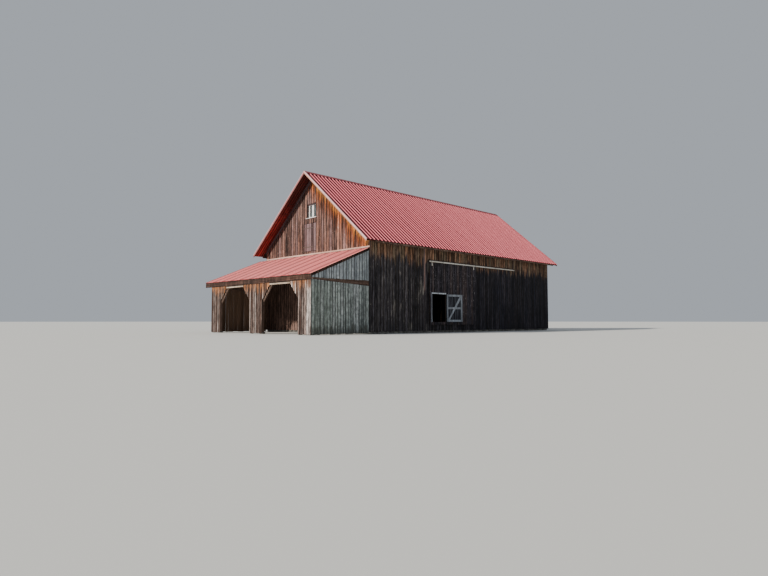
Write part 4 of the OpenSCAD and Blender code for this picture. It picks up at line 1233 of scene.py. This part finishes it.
def lean_sides():
    """Two tiers of boards on the right side and one on the left."""
    slope = Vector((-math.sin(LEAN_PITCH), 0, math.cos(LEAN_PITCH)))
    under_roof = (0, 0, lean_z(0, -DECK - 0.002))
    foot, upper_foot, lower_back, lower_front, over_roof = 0.02, 3.05, 2.76, 2.97, 5.3
    fall = Vector(((lower_front - lower_back) / (LEAN_D - BOARD), 0, 1)).normalized()
    lower_end = (0, 0, lower_back)
    tiers = (
        ("lean_right_lower_boards", "lean_right_wall", 0, foot, lower_end, fall, (0.3, 1.5, 2.65)),
        ("lean_right_upper_boards", "lean_right_wall", 0, upper_foot, under_roof, slope, (3.12,)),
        ("lean_left_boards", "lean_left_wall", BARN_W, foot, under_roof, slope, (0.3, 1.5, 2.9)),
    )
    for name, node, face, foot, point, normal, rows in tiers:
        back = BOARD if face == 0 else BARN_W - BOARD
        bm = new_piece()
        for span in board_spans(BOARD - LEAN_D, 0, 0.2, gap=0.009):
            wall_board(bm, "x", span, foot, over_roof, face, back, nail_rows=rows)
        cut_off(bm, point, normal)
        finish_boards(bm, 3, 0.003, name, lean_side_wood, node)


def slope_matrix(back):
    """Carries (along, up the slope, out of it) from the drip edge to the front or back slope."""
    c, s = math.cos(PITCH), math.sin(PITCH)
    if back:
        return Matrix(((1, 0, 0, 0), (0, -c, s, BARN_W + EAVE_OVER), (0, s, c, EAVE_H), (0, 0, 0, 1)))
    return Matrix(((1, 0, 0, 0), (0, c, -s, -EAVE_OVER), (0, s, c, EAVE_H), (0, 0, 0, 1)))


def lean_matrix():
    """Carries (along the barn's width, up the slope, out of it) to the lean-to roof from x = 0."""
    c, s = math.cos(LEAN_PITCH), math.sin(LEAN_PITCH)
    return Matrix(((0, c, -s, 0), (1, 0, 0, 0), (0, s, c, LEAN_TOP), (0, 0, 0, 1)))


def deck_boards(bm, start, stop, low, high, width, length):
    """Rows of boards side by side up a slope, each row in several lengths."""
    bottom, top, joint, shortest = -0.027, -0.0026, 0.001, 0.8
    for row in board_spans(low, high, width, gap=0.006):
        at = start
        while at < stop - 0.01:
            end = min(stop, at + length * rng.uniform(0.7, 1.3))
            if stop - end < shortest:
                end = stop
            add_board(bm, (at + joint, row[0], bottom), (end - joint, row[1], top), ALONG)
            at = end


def turn_runs(bm, matrix):
    """Moves a flat piece onto a slope, with its grain directions."""
    runs = bm.verts.layers.float_vector["run"]
    turn = matrix.to_3x3()
    for vert in bm.verts:
        vert[runs] = turn @ Vector(vert[runs])
    bmesh.ops.transform(bm, matrix=matrix, verts=bm.verts)


def roof_decks():
    """Boards under both slopes of the main roof and under the lean-to's."""
    high = (BARN_W / 2 - 0.01 + EAVE_OVER) / math.cos(PITCH)
    lean_low = -(LEAN_D + BOARD) / math.cos(LEAN_PITCH)
    for name, back in (("front", False), ("back", True)):
        bm = new_piece()
        deck_boards(bm, -NEAR_OVER, BARN_L + FAR_OVER, DECK_START, high, 0.2, 4.4)
        soften(bm, 0.002)
        turn_runs(bm, slope_matrix(back))
        finish(bm, name + "_roof_deck", deck_wood, ["roof_boards"])
    bm = new_piece()
    deck_boards(bm, -BOARD, BARN_W + LEAN_LEFT, lean_low, -0.012, 0.2, 4.0)
    soften(bm, 0.002)
    turn_runs(bm, lean_matrix())
    finish(bm, "lean_roof_deck", deck_wood, ["lean_roof_boards"])


def floor_boards():
    """Worn planks between the rows of posts, and one plank from post to post in each row."""
    half, joint = POST_S / 2, 0.003
    bm = new_piece()
    for low, high in zip(POST_ROWS, POST_ROWS[1:]):
        for row in board_spans(low + half + joint, high - half - joint, 0.24, gap=0.006):
            at = BOARD
            for stop in (*[b + rng.choice((-1.2, -0.4, 0.5)) for b in BENTS[1:4]], BARN_L - BOARD):
                top = FLOOR_TOP - rng.uniform(0, 0.003)
                add_board(bm, (at + 0.002, row[0], FLOOR_FOOT), (stop - 0.002, row[1], top), ALONG)
                at = stop
    for y in POST_ROWS:
        for left, right in zip(BENTS, BENTS[1:]):
            low, high = (left + half, y - half, FLOOR_FOOT), (right - half, y + half, FLOOR_TOP - 0.001)
            add_board(bm, low, high, ALONG)
    soften(bm, 0.003)
    finish(bm, "worn_floor_planks", plank_wood, ["floor_planks"])


def islands(bm):
    """The separate solids of a piece, as lists of vertices."""
    left = set(bm.verts)
    for start in bm.verts:
        if start not in left:
            continue
        left.discard(start)
        group, front = [start], [start]
        while front:
            for edge in front.pop().link_edges:
                for vert in edge.verts:
                    if vert in left:
                        left.discard(vert)
                        group.append(vert)
                        front.append(vert)
        yield group


def part_friezes(group):
    """Parts the gable friezes from the corner boards, which meet them along one edge."""
    margin, least_rise = 0.001, 2
    outside = [v for v in group if not -margin < v.co.x - BARN_X < BARN_L + margin]
    if not outside or max(v.co.z for v in outside) - min(v.co.z for v in outside) < least_rise:
        return [group]
    frieze = [v for v in group if v in outside or margin < v.co.y - BARN_Y < BARN_W - margin]
    corner = [v for v in group if v not in frieze]
    return [part for part in (frieze, corner) if len(part) > 3]


def redraw(node, keep=None):
    """A copy of a frame node's solids with their flat faces whole again, marked for the grain."""
    bm = bmesh.new()
    bm.from_mesh(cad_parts[node].data)
    add_layers(bm)
    bmesh.ops.remove_doubles(bm, verts=bm.verts, dist=0.00005)
    bmesh.ops.dissolve_limit(bm, angle_limit=0.01, verts=bm.verts, edges=bm.edges)
    unwanted = []
    for group in list(islands(bm)):
        middle = sum((v.co for v in group), Vector()) / len(group) - Vector((BARN_X, BARN_Y, 0))
        if keep and not keep(middle):
            unwanted += group
            continue
        for part in part_friezes(group):
            inside = set(part)
            edges = [e for v in part for e in v.link_edges if inside.issuperset(e.verts)]
            longest = max(edges, key=lambda e: round(e.calc_length(), 4))
            run = (longest.verts[1].co - longest.verts[0].co).normalized()
            mark(bm, part, run if max(run, key=abs) > 0 else -run)
    bmesh.ops.delete(bm, geom=unwanted, context="VERTS")
    return bm


def dress(node, name, material, edge=0.005, body="barn", sway=0.0, cuts=0, keep=None):
    """Redraws a frame node's timbers with eased edges and grain along each of them."""
    bm = redraw(node, keep)
    if sway or cuts:
        weather(bm, cuts, sway)
    soften(bm, edge)
    finish(bm, name, material, [node], body=body, in_barn=False)


def is_side_trim(middle):
    """True of the upright board left of the doorway, by its distance along the wall."""
    return 4 < middle.x < 5


def is_edge_trim(middle):
    return not is_side_trim(middle)


def timber_frame():
    """Timbers, edge boards and door rails, drawn from the frame's own solids."""
    dress("floor_frame", "floor_sills_and_joists", frame_wood, 0.006)
    dress("posts", "hewn_posts", frame_wood, 0.008, sway=0.004, cuts=5)
    dress("beams", "hewn_beams", frame_wood, 0.008)
    dress("frame_braces", "hewn_braces", frame_wood, 0.005)
    dress("wall_girts", "sawn_girts", frame_wood, 0.004)
    dress("rafters", "sawn_rafters", frame_wood, 0.003)
    dress("lean_frame", "lean_timbers", lean_frame_wood, 0.005)
    dress("lean_rafters", "lean_sawn_rafters", frame_wood, 0.003)
    dress("roof_edge_boards", "fascias_and_fly_rafters", edge_wood, 0.003)
    dress("lean_fascias", "lean_edge_boards", lean_edge_wood, 0.003)
    dress("wall_trims", "corner_and_frieze_boards", trim_wood, 0.003, keep=is_edge_trim)
    dress("wall_trims", "door_side_trim", near_trim_wood, 0.003, keep=is_side_trim)
    dress("track_board", "track_backing_board", track_board_wood, 0.003)
    dress("door_frame", "sliding_door_rails", rail_wood, 0.003, body="sliding_door")
    dress("wicket_frame", "wicket_rails", pale_wood, 0.003, body="wicket")
    dress("wicket_lintel", "wicket_doorway_strips", pale_wood, 0.002, body="sliding_door")


def rake_soffit_boards():
    """Narrow boards that run up under the overhangs at both gables."""
    bm = new_piece()
    fly_d, fly_w = 0.09, 0.038
    high = SLOPE_L - 0.06
    depth = -DECK - fly_d
    for start, stop in ((-NEAR_OVER + fly_w, 0), (BARN_L, BARN_L + FAR_OVER - fly_w)):
        for back in (False, True):
            flat = new_piece()
            for span in board_spans(start, stop, 0.17, gap=0.008):
                add_board(flat, (span[0], DECK_START, depth), (span[1], high, depth + BOARD), ACROSS)
            weather(flat, 3, 0.001)
            soften(flat, 0.002)
            turn_runs(flat, slope_matrix(back))
            part = bpy.data.meshes.new("soffit_part")
            flat.to_mesh(part)
            flat.free()
            bm.from_mesh(part)
            bpy.data.meshes.remove(part)
    finish(bm, "red_soffit_boards", soffit_wood, ["rake_soffits"])


def add_stone(bm, low, high):
    """A rough field stone that fills a box, its corners knocked off."""
    made = bmesh.ops.create_icosphere(bm, subdivisions=2, radius=1)["verts"]
    seed = Vector((rng.random() * 90, rng.random() * 90, rng.random() * 90))
    for vert in made:
        longest = max(abs(c) for c in vert.co)
        squared = vert.co.lerp(vert.co / longest, 0.72) * 0.5
        squared += noise.noise_vector(vert.co * 1.6 + seed) * 0.07
        vert.co = Vector((max(-0.5, min(0.5, c)) for c in squared))
    fit(bm, made, low, high)
    mark(bm, made, ALONG)


def foundation_stones():
    """Two courses of stones on a narrower core, with a flat stone under each inner post."""
    bm = new_piece()
    far_x, far_y, thick, inset = BARN_L - BOARD, BARN_W - BOARD, 0.45, 0.06
    stone_w, top, half_pad, lean_pad_h = 0.38, 0.25, 0.25, 0.1
    eave_sides = ((BOARD, BOARD + thick), (far_y - thick, far_y))
    gable_sides = ((BOARD, BOARD + thick), (far_x - thick, far_x))
    inner_y = (BOARD + thick, far_y - thick)
    for foot, head in ((0, 0.14), (0.135, top)):
        for low, high in eave_sides:
            for span in board_spans(BOARD, far_x, stone_w, gap=0.01):
                add_stone(bm, (span[0], low, foot), (span[1], high, head))
        for low, high in gable_sides:
            for span in board_spans(*inner_y, stone_w, gap=0.01):
                add_stone(bm, (low, span[0], foot), (high, span[1], head))
    for low, high in eave_sides:
        add_board(bm, (BOARD + inset, low + inset, 0.01), (far_x - inset, high - inset, top - 0.01), ALONG)
    for low, high in gable_sides:
        add_board(bm, (low + inset, inner_y[0], 0.01), (high - inset, inner_y[1], top - 0.01), ACROSS)
    for x in BENTS[1:4]:
        for y in POST_ROWS[1:3]:
            add_stone(bm, (x - half_pad, y - half_pad, 0), (x + half_pad, y + half_pad, top))
    for y in (0.025, 0.99, 4.65, 5.87, BARN_W - PIER_W, BARN_W - 0.175):
        add_stone(bm, (BOARD - LEAN_D, y, 0), (0.275 - LEAN_D, y + 0.15, lean_pad_h))
    finish(bm, "foundation_stones", field_stone, ["foundation"], smooth=True)


def rib_screws(bm, across, first, step, count):
    """A row of screws up one rib."""
    for row in range(count):
        add_bolt(bm, (across, first + row * step, RIB_H), UP, 0.008, 0.005, segments=6)


def roof_fixings():
    """Screws on the ribs, and the free edge of each sheet where it laps the next."""
    rib_foot, lap_w, lap_t = 0.038, 0.05, 0.0012
    count = int((BARN_L + FAR_OVER + NEAR_OVER - 2 * RIB_MARGIN) / RIB_STEP) + 1
    for name, back in (("front", False), ("back", True)):
        bm = bmesh.new()
        for number in range(count):
            x = -NEAR_OVER + RIB_MARGIN + number * RIB_STEP
            rib_screws(bm, x, 0.12, 0.63, 12)
            if number % SHEET_RIBS == 0 and number < count - 1:
                lap = x + rib_foot
                add_bar(bm, (lap, 0.01, 0), (lap + lap_w, SLOPE_L - 0.05, lap_t))
        bmesh.ops.transform(bm, matrix=slope_matrix(back), verts=bm.verts)
        finish(bm, name + "_roof_fixings", roof_paint)
    bm = bmesh.new()
    for number in range(int((BARN_W + LEAN_LEFT - RIB_MARGIN) / LEAN_RIB_STEP) + 1):
        rib_screws(bm, BARN_W + LEAN_LEFT - RIB_MARGIN - number * LEAN_RIB_STEP, -4.52, 0.62, 8)
    bmesh.ops.transform(bm, matrix=lean_matrix(), verts=bm.verts)
    finish(bm, "lean_roof_fixings", lean_paint)


def nail_heads():
    """All the nails that the boards were given, one piece for each body."""
    for body, places in nails.items():
        bm = bmesh.new()
        for at, out in places:
            add_bolt(bm, at, out, 0.006, 0.002, segments=6)
        if body == "wicket":
            open_wicket(bm)
        finish(bm, body + "_nail_heads", iron, body=body)


def coat_node(node, material):
    """A frame node whose shape is right keeps it and gets its finish."""
    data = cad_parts[node].data
    data.materials.clear()
    data.materials.append(material)


eave_walls()
gable_walls()
hay_door()
gable_window()
sliding_door()
track_fixings()
lean_front()
lean_sides()
roof_decks()
floor_boards()
timber_frame()
rake_soffit_boards()
foundation_stones()
roof_fixings()
nail_heads()
for node, material in (
    ("roof_metal_front", roof_paint),
    ("roof_metal_back", roof_paint),
    ("ridge_cap", cap_paint),
    ("rake_trims", rake_paint_and_highlight),
    ("lean_roof_metal", lean_paint),
    ("lean_flashing", flashing_paint),
    ("window_glass", window_pane),
    ("door_track", track_metal),
    ("door_hangers", track_metal),
    ("wicket_pintles", iron),
    ("wicket_straps", iron),
):
    coat_node(node, material)

bpy.context.view_layer.update()
boxes = {"cad": cad_box, "scene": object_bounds()}
{key: [list(map(float, corner)) for corner in box] for key, box in boxes.items()}
